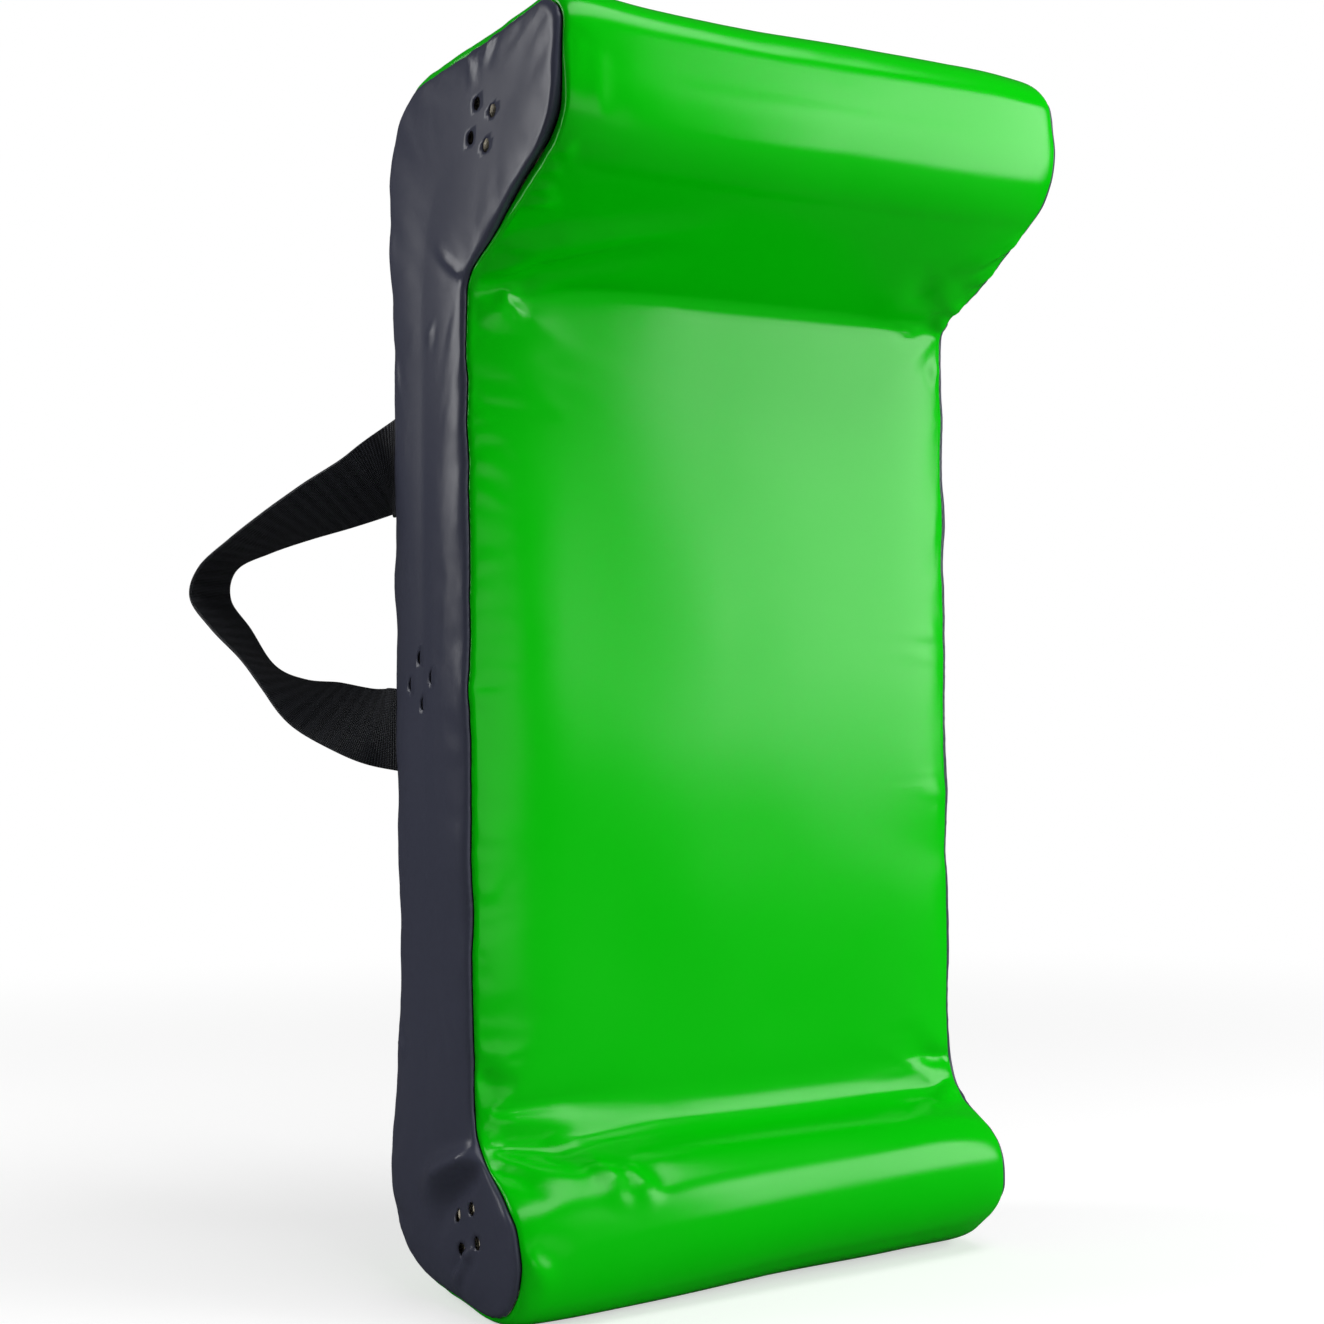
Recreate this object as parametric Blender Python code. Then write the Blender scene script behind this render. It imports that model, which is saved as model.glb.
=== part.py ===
"""Tackle wedge: a foam contact pad with a deep top nose and a smaller base nose, in a sewn PVC cover.

Metres, +Z up. The origin is in the middle of the flat foot that the wedge stands on, with the hollow
front towards -Y. Depths below are read from the back seam line, which the wedge's frame sets back.
"""
import math

import bmesh
import bpy
from mathutils import Vector
from mathutils.geometry import interpolate_bezier

# Side outline of the cover, measured at the seams
WEDGE_HEIGHT = 0.750
WEDGE_WIDTH = 0.358
SLAB_DEPTH = 0.097
TOP_NOSE_OVERHANG = 0.116
TOP_NOSE_FACE = 0.074
TOP_NOSE_UNDERCUT = 0.069
TOP_BACK_FALL = 0.0175
TOP_BACK_BULGE = 0.006
TOP_BULGE_REACH = 0.1325
BASE_NOSE_OVERHANG = 0.053
BASE_NOSE_FACE = 0.0583
BASE_NOSE_BROW = 0.0437
BASE_SEAM_LIFT = 0.002
TOE_CUT_BACK = 0.032
TOE_CUT_UP = 0.028
HEEL_BULGE = 0.025
HEEL_BULGE_REACH = 0.194

# Round stretches of that outline
TOP_BACK_RADIUS = 0.058
NOSE_TOP_RADIUS = 0.022
CHIN_RADIUS = 0.048
THROAT_RADIUS = 0.020
BASE_THROAT_RADIUS = 0.046
BASE_NOSE_RADIUS = 0.030
TOE_FRONT_RADIUS = 0.032
TOE_RADIUS = 0.050
HEEL_RADIUS = 0.066
BACK_BLEND_RADIUS = 0.500
ARC_STEP = math.radians(15)

# How far each panel swells past its seams, and the fabric and fitting gaps
TOP_CROWN = 0.012
FRONT_CROWN = 0.006
BASE_CROWN = 0.003
BACK_CROWN = 0.0065
SIDE_CROWN = 0.0035
SIDE_LIP = 0.010
CROWN_POWER = 4
COLUMN_SHARES = (-1.0, -0.95, -0.85, -0.65, -0.35, 0.0, 0.35, 0.65, 0.85, 0.95, 1.0)
FABRIC = 0.001
GAP = 0.0004

# Vent holes in the side panels: pitch, bore, and cluster centres as (depth, height, turn)
VENT_BORE = 0.0085
VENT_PITCH = 0.020
VENT_SIDES = 12
TOP_VENT_DEPTH = 0.1276
TOP_VENT_FALL = 0.058
TOP_VENT_TURN = math.radians(24)
MIDDLE_VENT_DEPTH = 0.0466
MIDDLE_VENT_HEIGHT = 0.3724
MIDDLE_VENT_TURN = math.radians(37)
BASE_VENT_DEPTH = 0.0942
BASE_VENT_HEIGHT = 0.0511
BASE_VENT_TURN = math.radians(-21)
CUT_OVERRUN = 0.004

# Webbing handles, one in each back side seam
STRAP_WIDTH = 0.050
STRAP_THICKNESS = 0.0025
STRAP_LEAN = math.radians(51)
STRAP_REACH = 0.130
STRAP_TOP_HEIGHT = 0.5065
STRAP_BOTTOM_HEIGHT = 0.342
STRAP_TUCK = 0.0009
STRAP_TUCK_SHARE = 0.5
STRAP_LINE_PARTS = 4
STRAP_ROOT_PARTS = 5
STRAP_COLUMN_SHARES = (1.0, 0.5, 0.0, -0.5, -1.0)
# The webbing's line from its top end: share of the reach, share of the drop, quarter turns
STRAP_LINE_SHARES = (
    (0.0, 0.0, 0.0), (0.115, 0.062, 0.42), (0.37, 0.143, 0.64), (0.565, 0.206, 0.79),
    (0.775, 0.282, 0.93), (0.955, 0.365, 1.03), (0.998, 0.482, 1.0), (0.887, 0.6, 1.0),
    (0.737, 0.735, 1.07), (0.59, 0.823, 0.91), (0.418, 0.9, 0.59), (0.19, 0.966, 0.36), (0.0, 1.0, 0.0))

# Back zip: a moulded chain on two tapes, behind a slot in the back panel
ZIP_SLOT_WIDTH = 0.018
ZIP_TOP_MARGIN = 0.016
ZIP_BASE_MARGIN = 0.034
TAPE_WIDTH = 0.017
TAPE_THICKNESS = 0.0006
TAPE_OVERLAP = 0.008
TOOTH_PITCH = 0.005
TOOTH_LENGTH = 0.0028
TOOTH_REACH = 0.0022
TOOTH_THICKNESS = 0.0024
ROW_CORE = 0.0016
ROW_SPACING = 0.0018
STOP_LENGTH = 0.004
STOP_WIDTH = 0.008
SLIDER_WIDTH = 0.0125
SLIDER_LENGTH = 0.017
SLIDER_PLATE = 0.0012
SLIDER_CLEARANCE = 0.0004
SLIDER_WEB = 0.0009
SLIDER_WEB_LENGTH = 0.006
LUG_HEIGHT = 0.0036
LUG_LENGTH = 0.0040
LUG_THICKNESS = 0.0014
PULL_PIN_RADIUS = 0.0008
PULL_WIDTH = 0.0052
PULL_LENGTH = 0.032
PULL_THICKNESS = 0.0016
PULL_EYE_RADIUS = 0.0018
PULL_CLEARANCE = 0.0003
PULL_SLOT_WIDTH = 0.0026
PULL_SLOT_LENGTH = 0.012
ROUND_SIDES = 16

SHARP_ANGLE = math.radians(35)
WHOLE_STEP_SHARE = 0.01
FRONT_ARC_COUNT = 9
WEDGE_FRAME = "wedge_frame"

TOP_NOSE_DEPTH = SLAB_DEPTH + TOP_NOSE_OVERHANG
CHIN_HEIGHT = WEDGE_HEIGHT - TOP_NOSE_FACE
THROAT_HEIGHT = CHIN_HEIGHT - TOP_NOSE_UNDERCUT
TOP_BACK_HEIGHT = WEDGE_HEIGHT - TOP_BACK_FALL
BASE_NOSE_DEPTH = SLAB_DEPTH + BASE_NOSE_OVERHANG
BASE_NOSE_HEIGHT = BASE_SEAM_LIFT + BASE_NOSE_FACE
BASE_THROAT_HEIGHT = BASE_NOSE_HEIGHT + BASE_NOSE_BROW
HALF_WIDTH = WEDGE_WIDTH / 2
FOAM_INSET = FABRIC + GAP
SLAB_FRONT = -(SLAB_DEPTH + FRONT_CROWN)


def clear_scene():
    for item in list(bpy.data.objects):
        bpy.data.objects.remove(item, do_unlink=True)


def finish_material(name, colour, roughness, metallic=0.0):
    material = bpy.data.materials.new(name)
    material.use_nodes = True
    shader = material.node_tree.nodes["Principled BSDF"]
    shader.inputs["Base Color"].default_value = (*colour, 1.0)
    shader.inputs["Roughness"].default_value = roughness
    shader.inputs["Metallic"].default_value = metallic
    material.diffuse_color = (*colour, 1.0)
    return material


def make_object(name, mesh_builder, material, pivot=None):
    """Turns a bmesh into a named object of the wedge's frame, smooth except at its sharp edges."""
    bmesh.ops.recalc_face_normals(mesh_builder, faces=mesh_builder.faces)
    mesh = bpy.data.meshes.new(name)
    mesh_builder.to_mesh(mesh)
    mesh_builder.free()
    if material is not None:
        mesh.materials.append(material)
    mesh.shade_smooth()
    mesh.set_sharp_from_angle(angle=SHARP_ANGLE)
    item = bpy.data.objects.new(name, mesh)
    bpy.context.scene.collection.objects.link(item)
    if pivot is not None:
        mesh.transform(pivot.matrix_basis.inverted())
    item.parent = pivot or bpy.data.objects[WEDGE_FRAME]
    return item


def add_pivot(name, place, parent=None):
    pivot = bpy.data.objects.new(name, None)
    pivot.location = place
    pivot.parent = parent
    bpy.context.scene.collection.objects.link(pivot)
    return pivot


def add_joint_pivot(name, place):
    return add_pivot(name, place, bpy.data.objects[WEDGE_FRAME])


def cut_with(item, cutter):
    cutter.hide_render = True
    cutter.display_type = "WIRE"
    cut = item.modifiers.new("cut", "BOOLEAN")
    cut.operation = "DIFFERENCE"
    cut.object = cutter
    cut.solver = "EXACT"


def loft(rings, strip_caps=False):
    """Skins rings of equal length. Strip caps close a flattened ring with quads, others use one face."""
    builder = bmesh.new()
    rows = [[builder.verts.new(point) for point in ring] for ring in rings]
    count = len(rows[0])
    for low, high in zip(rows, rows[1:]):
        for index in range(count):
            after = (index + 1) % count
            builder.faces.new((low[index], low[after], high[after], high[index]))
    for row in (rows[0], rows[-1]):
        if strip_caps:
            half = count // 2
            for index in range(half - 1):
                far = count - 1 - index
                builder.faces.new((row[index], row[index + 1], row[far - 1], row[far]))
        else:
            builder.faces.new(row)
    builder.normal_update()
    return builder


def fillet(before, corner, after, radius, step):
    """Points and outward normals of the arc that rounds a corner, with the corner's right side outward."""
    arrive = (corner - before).normalized()
    leave = (after - corner).normalized()
    turn = math.atan2(arrive.x * leave.y - arrive.y * leave.x, arrive.dot(leave))
    reach = min((corner - before).length, (after - corner).length) / 2
    tangent = min(radius * math.tan(abs(turn) / 2), reach)
    radius = tangent / math.tan(abs(turn) / 2)
    start = corner - arrive * tangent
    left = Vector((-arrive.y, arrive.x))
    side = 1 if turn > 0 else -1
    centre = start + left * radius * side
    parts = max(1, math.ceil(abs(turn) / step - WHOLE_STEP_SHARE))
    points = []
    for index in range(parts + 1):
        angle = turn * index / parts
        normal = Vector((math.cos(angle) * -left.x - math.sin(angle) * -left.y,
                         math.sin(angle) * -left.x + math.cos(angle) * -left.y))
        points.append((centre + normal * radius * side, normal))
    return points


def seam_arcs():
    """The side outline as one arc for each corner, from the back of the top round the front to the back."""
    corners = (
        (TOP_BACK_BULGE, TOP_BACK_HEIGHT, TOP_BACK_RADIUS),
        (-TOP_NOSE_DEPTH, WEDGE_HEIGHT, NOSE_TOP_RADIUS),
        (-TOP_NOSE_DEPTH, CHIN_HEIGHT, CHIN_RADIUS),
        (-SLAB_DEPTH, THROAT_HEIGHT, THROAT_RADIUS),
        (-SLAB_DEPTH, BASE_THROAT_HEIGHT, BASE_THROAT_RADIUS),
        (-BASE_NOSE_DEPTH, BASE_NOSE_HEIGHT, BASE_NOSE_RADIUS),
        (-BASE_NOSE_DEPTH, BASE_SEAM_LIFT + TOE_CUT_UP, TOE_FRONT_RADIUS),
        (-BASE_NOSE_DEPTH + TOE_CUT_BACK, BASE_SEAM_LIFT, TOE_RADIUS),
        (HEEL_BULGE, BASE_SEAM_LIFT, HEEL_RADIUS),
        (0, BASE_SEAM_LIFT + HEEL_BULGE_REACH, BACK_BLEND_RADIUS),
        (0, TOP_BACK_HEIGHT - TOP_BULGE_REACH, BACK_BLEND_RADIUS),
    )
    places = [Vector(corner[:2]) for corner in corners]
    arcs = []
    for index, corner in enumerate(corners):
        after = places[(index + 1) % len(places)]
        arcs.append(fillet(places[index - 1], places[index], after, corner[2], ARC_STEP))
    return arcs


def crown_at(station, across, slack_back):
    """How far the cover stands past its seam line, at a share of the half width across."""
    point, normal = station
    if normal.x < 0:
        level = FRONT_CROWN
    else:
        level = max(0.0, BACK_CROWN - point.x) if slack_back else 0.0
    up = TOP_CROWN if normal.y > 0 else BASE_CROWN
    height = level * normal.x ** 2 + up * normal.y ** 2
    return height * (1 - abs(across) ** CROWN_POWER)


def skin_point(station, across, inset, slack_back=True):
    """A point of the padded shape, pressed flat where it stands on the floor."""
    point, normal = station
    place = point + normal * (crown_at(station, across, slack_back) - inset)
    return Vector((across * HALF_WIDTH, place.x, max(place.y, inset)))


def panel_ring(station):
    outer = [skin_point(station, share, 0) for share in COLUMN_SHARES]
    inner = [skin_point(station, share, FABRIC) for share in reversed(COLUMN_SHARES)]
    return outer + inner


def make_front_panel(arcs, material):
    stations = [station for arc in arcs[:FRONT_ARC_COUNT] for station in arc]
    make_object("cover_front", loft([panel_ring(station) for station in stations], True), material)


def foot_middle(arcs):
    """The depth of the middle of the flat foot, between the toe's and the heel's round stretches."""
    return (arcs[FRONT_ARC_COUNT - 2][-1][0].x + arcs[FRONT_ARC_COUNT - 1][0][0].x) / 2


def level_station(arcs):
    """Where the seam line comes level with the straight middle of the back, above the heel."""
    low, high = arcs[FRONT_ARC_COUNT - 1][-1], arcs[FRONT_ARC_COUNT][0]
    share = (low[0].x - BACK_CROWN) / (low[0].x - high[0].x)
    return low[0].lerp(high[0], share), low[1]


def back_stations(arcs):
    """The back panel's stations, drawn back from the front panel's edges by the seam gap."""
    heel, top = arcs[FRONT_ARC_COUNT - 1][-1], arcs[0][0]
    middle = [level_station(arcs)] + [station for arc in arcs[FRONT_ARC_COUNT:] for station in arc]
    up_from_heel = (middle[0][0] - heel[0]).normalized() * GAP
    down_from_top = (middle[-1][0] - top[0]).normalized() * GAP
    first = (heel[0] + up_from_heel, heel[1])
    last = (top[0] + down_from_top, top[1])
    return [first] + middle + [last]


def zip_span(arcs):
    """The heights between which the chain runs: the straight part of the back, less its margins."""
    low = level_station(arcs)[0].y + ZIP_BASE_MARGIN
    high = arcs[0][0][0].y - ZIP_TOP_MARGIN
    teeth = int((high - low) / TOOTH_PITCH)
    return low, low + teeth * TOOTH_PITCH, teeth


def box(low, high):
    builder = bmesh.new()
    bmesh.ops.create_cube(builder, size=1.0)
    size = Vector(high) - Vector(low)
    bmesh.ops.scale(builder, vec=size, verts=builder.verts)
    bmesh.ops.translate(builder, vec=(Vector(high) + Vector(low)) / 2, verts=builder.verts)
    return builder


def make_back_panel(arcs, material):
    rings = [panel_ring(station) for station in back_stations(arcs)]
    panel = make_object("cover_back", loft(rings, True), material)
    low, high, _ = zip_span(arcs)
    past_chain = STOP_LENGTH + 2 * GAP
    slot = box((-ZIP_SLOT_WIDTH / 2, BACK_CROWN - FABRIC - CUT_OVERRUN, low - past_chain),
               (ZIP_SLOT_WIDTH / 2, BACK_CROWN + CUT_OVERRUN, high + past_chain))
    cut_with(panel, make_object("zip_slot_cutter", slot, None))


def outline_ring(stations, inset, across):
    """The side outline at one place across the width, drawn in by an inset."""
    ring = []
    for point, normal in stations:
        place = point - normal * inset
        ring.append(Vector((across, place.x, place.y)))
    return ring


def vent_cutter(side):
    builder = bmesh.new()
    clusters = ((TOP_VENT_DEPTH, WEDGE_HEIGHT - TOP_VENT_FALL, TOP_VENT_TURN),
                (MIDDLE_VENT_DEPTH, MIDDLE_VENT_HEIGHT, MIDDLE_VENT_TURN),
                (BASE_VENT_DEPTH, BASE_VENT_HEIGHT, BASE_VENT_TURN))
    for depth, height, turn in clusters:
        for quarter in range(4):
            angle = turn + math.radians(45) + quarter * math.pi / 2
            reach = VENT_PITCH / math.sqrt(2)
            drill = bmesh.ops.create_cone(builder, cap_ends=True, segments=VENT_SIDES,
                                          radius1=VENT_BORE / 2, radius2=VENT_BORE / 2,
                                          depth=SIDE_CROWN + FABRIC + 2 * CUT_OVERRUN)["verts"]
            bmesh.ops.rotate(builder, verts=drill, cent=(0, 0, 0),
                             matrix=Vector((0, 0, 1)).rotation_difference(Vector((1, 0, 0))).to_matrix())
            place = (side * HALF_WIDTH, -depth + reach * math.cos(angle), height + reach * math.sin(angle))
            bmesh.ops.translate(builder, verts=drill, vec=place)
    return builder


def make_side_panel(name, arcs, side, material):
    stations = [station for arc in arcs for station in arc]
    edge, lip = FOAM_INSET, FOAM_INSET + SIDE_LIP
    rings = [outline_ring(stations, lip, side * (HALF_WIDTH + SIDE_CROWN)),
             outline_ring(stations, edge, side * HALF_WIDTH),
             outline_ring(stations, edge, side * (HALF_WIDTH - FABRIC)),
             outline_ring(stations, lip, side * (HALF_WIDTH + SIDE_CROWN - FABRIC))]
    panel = make_object(name, loft(rings), material)
    cut_with(panel, make_object(name + "_vent_cutter", vent_cutter(side), None))


def foam_block(arcs):
    """The whole padded shape inside the cover, before it is cut into its glued blocks."""
    stations = [station for arc in arcs for station in arc]
    end = (HALF_WIDTH - FOAM_INSET) / HALF_WIDTH
    shares = [-end] + list(COLUMN_SHARES[1:-1]) + [end]
    rings = [[skin_point(station, share, FOAM_INSET, slack_back=False) for station in stations]
             for share in shares]
    reach = HALF_WIDTH + SIDE_CROWN - FOAM_INSET
    first = outline_ring(stations, FOAM_INSET + SIDE_LIP, -reach)
    last = outline_ring(stations, FOAM_INSET + SIDE_LIP, reach)
    return loft([first] + rings + [last])


def close_loops(builder):
    """Closes each open loop of edges with one face."""
    open_edges = [edge for edge in builder.edges if edge.is_boundary]
    while open_edges:
        edge = open_edges.pop(0)
        start, corner = edge.verts
        loop = [start]
        while corner is not start:
            loop.append(corner)
            edge = next(link for link in open_edges if corner in link.verts)
            open_edges.remove(edge)
            corner = edge.other_vert(corner)
        builder.faces.new(loop)
    builder.normal_update()


def keep_side(builder, place, direction):
    """Cuts a closed mesh by a plane, keeps the side that the direction points to, and closes it."""
    parts = builder.verts[:] + builder.edges[:] + builder.faces[:]
    bmesh.ops.bisect_plane(builder, geom=parts, plane_co=place, plane_no=direction,
                           dist=GAP / 1000, clear_inner=True)
    close_loops(builder)
    return builder


def make_foam(arcs, material):
    middle = (THROAT_HEIGHT + BASE_THROAT_HEIGHT) / 2
    slab = keep_side(foam_block(arcs), (0, SLAB_FRONT + GAP / 2, 0), (0, 1, 0))
    make_object("foam_slab", slab, material)
    for name, way in (("foam_top_bolster", 1), ("foam_base_bolster", -1)):
        bolster = keep_side(foam_block(arcs), (0, SLAB_FRONT - GAP / 2, 0), (0, -1, 0))
        keep_side(bolster, (0, 0, middle), (0, 0, way))
        make_object(name, bolster, material)


def strap_line():
    """The webbing's centre line from its top end, as (reach from the seam, height, quarter turns)."""
    drop = STRAP_TOP_HEIGHT - STRAP_BOTTOM_HEIGHT
    knots = [Vector((reach * STRAP_REACH, STRAP_TOP_HEIGHT - fall * drop, turn))
             for reach, fall, turn in STRAP_LINE_SHARES]
    knots = [knots[0] * 2 - knots[1]] + knots + [knots[-1] * 2 - knots[-2]]
    points = []
    for before, start, end, after in zip(knots, knots[1:], knots[2:], knots[3:]):
        leave, arrive = start + (end - before) / 6, end - (after - start) / 6
        points += interpolate_bezier(start, leave, arrive, end, STRAP_LINE_PARTS + 1)[:-1]
    return points + [knots[-2]]


def handle_offset():
    """The hinge line's distance from the corner, so that the webbing's rounded root just clears it."""
    return (STRAP_THICKNESS / 2 + GAP) / math.sqrt(2)


def strap_ring(centre, wide, thick):
    face = [centre + wide * share + thick for share in STRAP_COLUMN_SHARES]
    return face + [centre + wide * share - thick for share in reversed(STRAP_COLUMN_SHARES)]


def rings_between(first, last, parts):
    """The rings that turn one ring into another, in equal steps."""
    return [[before.lerp(after, index / parts) for before, after in zip(first, last)]
            for index in range(1, parts)]


def make_handle(name, side, material):
    """A webbing loop sewn flat into the seam at both ends and turned edge-on at its tip."""
    hinge = Vector((side * (HALF_WIDTH + handle_offset()), handle_offset(), 0))
    outward = Vector((side * math.cos(STRAP_LEAN), math.sin(STRAP_LEAN), 0))
    across = Vector((-side * math.sin(STRAP_LEAN), math.cos(STRAP_LEAN), 0))
    up = Vector((0, 0, 1))
    line = strap_line()
    free = line[STRAP_LINE_PARTS - 1:1 - STRAP_LINE_PARTS]
    rings = []
    for before, point, after in zip(free, free[1:], free[2:]):
        run = (after.xy - before.xy).normalized()
        turn = point.z * math.pi / 2
        flat = outward * -run.y + up * run.x
        wide = flat * math.cos(turn) - across * math.sin(turn)
        thick = (outward * run.x + up * run.y).cross(wide)
        centre = hinge + outward * point.x + up * point.y
        rings.append(strap_ring(centre, wide * STRAP_WIDTH / 2, thick * STRAP_THICKNESS / 2))
    ends = []
    for place, beside, ring, way in ((line[0], free[0], rings[0], 1), (line[-1], free[-1], rings[-1], -1)):
        facing = 1 if (ring[0] - ring[-1]).dot(across) > 0 else -1
        slant = (beside.xy - place.xy).normalized().x
        wide = up * way * STRAP_WIDTH / 2 / slant
        for inset, share in ((0, 1), (STRAP_TUCK, STRAP_TUCK_SHARE)):
            slim = across * facing * STRAP_THICKNESS / 2 * share
            ends.append(strap_ring(hinge + outward * (place.x - inset) + up * place.y, wide, slim))
    top_root = rings_between(ends[0], rings[0], STRAP_ROOT_PARTS)
    base_root = rings_between(rings[-1], ends[2], STRAP_ROOT_PARTS)
    rings = [ends[1], ends[0]] + top_root + rings + base_root + [ends[2], ends[3]]
    make_object(name, loft(rings), material, add_joint_pivot(name + "_pivot", hinge))


def make_zip_rows(arcs, tape_material, chain_material, pull_material):
    low, high, teeth = zip_span(arcs)
    tape_face = BACK_CROWN - FABRIC - GAP
    chain_middle = tape_face - TAPE_THICKNESS / 2
    tooth_half = TOOTH_THICKNESS / 2
    inner = ROW_SPACING / 2
    core_in = inner + TOOTH_REACH
    core_out = core_in + ROW_CORE
    for name, side in (("left", -1), ("right", 1)):
        outline = [(core_out, low), (core_in, low)]
        shift = 0 if side < 0 else TOOTH_PITCH / 2
        for index in range(teeth if side < 0 else teeth - 1):
            start = low + index * TOOTH_PITCH + shift + (TOOTH_PITCH - TOOTH_LENGTH) / 2
            outline += [(core_in, start), (inner, start), (inner, start + TOOTH_LENGTH),
                        (core_in, start + TOOTH_LENGTH)]
        outline += [(core_in, high), (core_out, high)]
        rings = [[Vector((side * x, y, z)) for x, z in outline]
                 for y in (chain_middle - tooth_half, chain_middle + tooth_half)]
        make_object("zip_teeth_" + name, loft(rings), chain_material)
        tape_in = core_out + GAP
        ends = sorted((side * tape_in, side * (tape_in + TAPE_WIDTH)))
        tape = box((ends[0], tape_face - TAPE_THICKNESS, low - TAPE_OVERLAP),
                   (ends[1], tape_face, high + TAPE_OVERLAP))
        make_object("zip_tape_" + name, tape, tape_material)
    for name, start in (("zip_stop_base", low - GAP - STOP_LENGTH), ("zip_stop_top", high + GAP)):
        stop = box((-STOP_WIDTH / 2, chain_middle - tooth_half, start),
                   (STOP_WIDTH / 2, chain_middle + tooth_half, start + STOP_LENGTH))
        make_object(name, stop, chain_material)
    make_slider(low, chain_middle, pull_material)


def union_of(builders):
    """Joins overlapping closed meshes into one by the EXACT solver."""
    name = "slider_blank"
    base = make_object(name, builders[0], None)
    for index, builder in enumerate(builders[1:]):
        other = make_object(name + "_" + str(index), builder, None)
        join = base.modifiers.new("join", "BOOLEAN")
        join.operation = "UNION"
        join.object = other
        join.solver = "EXACT"
    graph = bpy.context.evaluated_depsgraph_get()
    whole = bmesh.new()
    whole.from_mesh(base.evaluated_get(graph).to_mesh())
    for item in [item for item in bpy.data.objects if item.name.startswith(name)]:
        bpy.data.objects.remove(item, do_unlink=True)
    return whole


def pin_along_x(radius, length, centre):
    builder = bmesh.new()
    bmesh.ops.create_cone(builder, cap_ends=True, segments=ROUND_SIDES, radius1=radius, radius2=radius,
                          depth=length)
    bmesh.ops.rotate(builder, verts=builder.verts, cent=(0, 0, 0),
                     matrix=Vector((0, 0, 1)).rotation_difference(Vector((1, 0, 0))).to_matrix())
    bmesh.ops.translate(builder, verts=builder.verts, vec=centre)
    return builder


def slider_plate(near, far, start):
    plate = box((-SLIDER_WIDTH / 2, near, start), (SLIDER_WIDTH / 2, far, start + SLIDER_LENGTH))
    corners = [edge for edge in plate.edges
               if abs(edge.verts[0].co.y - edge.verts[1].co.y) > (far - near) / 2]
    bmesh.ops.bevel(plate, geom=corners, offset=SLIDER_WIDTH / 4, offset_type="OFFSET", segments=3,
                    profile=0.5, affect="EDGES", material=-1)
    return plate


def make_slider(low, chain_middle, material):
    """Two plates over and under the chain, held by a web that runs between the rows, with the pull's lugs."""
    start = low + TOOTH_PITCH
    clear = TOOTH_THICKNESS / 2 + SLIDER_CLEARANCE
    over, under = chain_middle + clear, chain_middle - clear
    middle = start + SLIDER_LENGTH / 2
    parts = [slider_plate(over, over + SLIDER_PLATE, start), slider_plate(under - SLIDER_PLATE, under, start)]
    overlap = SLIDER_PLATE / 2
    parts.append(box((-SLIDER_WEB / 2, under - overlap, middle - SLIDER_WEB_LENGTH / 2),
                     (SLIDER_WEB / 2, over + overlap, middle + SLIDER_WEB_LENGTH / 2)))
    lug_in = PULL_WIDTH / 2 + PULL_CLEARANCE
    top = over + SLIDER_PLATE
    for side in (-1, 1):
        ends = sorted((side * lug_in, side * (lug_in + LUG_THICKNESS)))
        parts.append(box((ends[0], over + overlap, middle - LUG_LENGTH / 2),
                         (ends[1], top + LUG_HEIGHT, middle + LUG_LENGTH / 2)))
    axis = Vector((0, top + PULL_EYE_RADIUS + PULL_CLEARANCE, middle))
    parts.append(pin_along_x(PULL_PIN_RADIUS, 2 * lug_in + LUG_THICKNESS, axis))
    slider_pivot = add_joint_pivot("zip_slider_pivot", (0, chain_middle, middle))
    make_object("zip_slider", union_of(parts), material, slider_pivot)
    make_pull(axis, material)


def make_pull(axis, material):
    """A flat tab with an eye round the slider's pin and a cord slot at its foot, hanging down at rest."""
    eye = pin_along_x(PULL_EYE_RADIUS, PULL_WIDTH, axis)
    tab = box((-PULL_WIDTH / 2, axis.y - PULL_THICKNESS / 2, axis.z - PULL_LENGTH),
              (PULL_WIDTH / 2, axis.y + PULL_THICKNESS / 2, axis.z - PULL_EYE_RADIUS / 2))
    pivot = add_joint_pivot("zip_pull_pivot", axis)
    pull = make_object("zip_pull", union_of([eye, tab]), material, pivot)
    bore = pin_along_x(PULL_PIN_RADIUS + PULL_CLEARANCE, PULL_WIDTH + 2 * CUT_OVERRUN, axis)
    cut_with(pull, make_object("zip_pull_bore_cutter", bore, None))
    foot = axis.z - PULL_LENGTH + PULL_WIDTH / 2
    slot = box((-PULL_SLOT_WIDTH / 2, axis.y - PULL_THICKNESS, foot),
               (PULL_SLOT_WIDTH / 2, axis.y + PULL_THICKNESS, foot + PULL_SLOT_LENGTH))
    cut_with(pull, make_object("zip_pull_slot_cutter", slot, None))


clear_scene()
green_pvc = finish_material("green_pvc", (0.0, 0.40, 0.003), 0.32)
slate_pvc = finish_material("slate_pvc", (0.055, 0.058, 0.082), 0.42)
cream_foam = finish_material("cream_foam", (0.62, 0.56, 0.42), 0.95)
black_webbing = finish_material("black_webbing", (0.008, 0.009, 0.012), 0.80)
black_tape = finish_material("black_tape", (0.012, 0.012, 0.014), 0.85)
black_chain = finish_material("black_chain", (0.015, 0.015, 0.018), 0.45)
grey_metal = finish_material("grey_metal", (0.25, 0.25, 0.26), 0.35, 1.0)

wedge_arcs = seam_arcs()
add_pivot(WEDGE_FRAME, (0, -foot_middle(wedge_arcs), 0))
make_foam(wedge_arcs, cream_foam)
make_front_panel(wedge_arcs, green_pvc)
make_side_panel("cover_side_left", wedge_arcs, -1, slate_pvc)
make_side_panel("cover_side_right", wedge_arcs, 1, slate_pvc)
make_back_panel(wedge_arcs, slate_pvc)
make_zip_rows(wedge_arcs, black_tape, black_chain, grey_metal)
make_handle("handle_left", -1, black_webbing)
make_handle("handle_right", 1, black_webbing)
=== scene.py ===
import math

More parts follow.
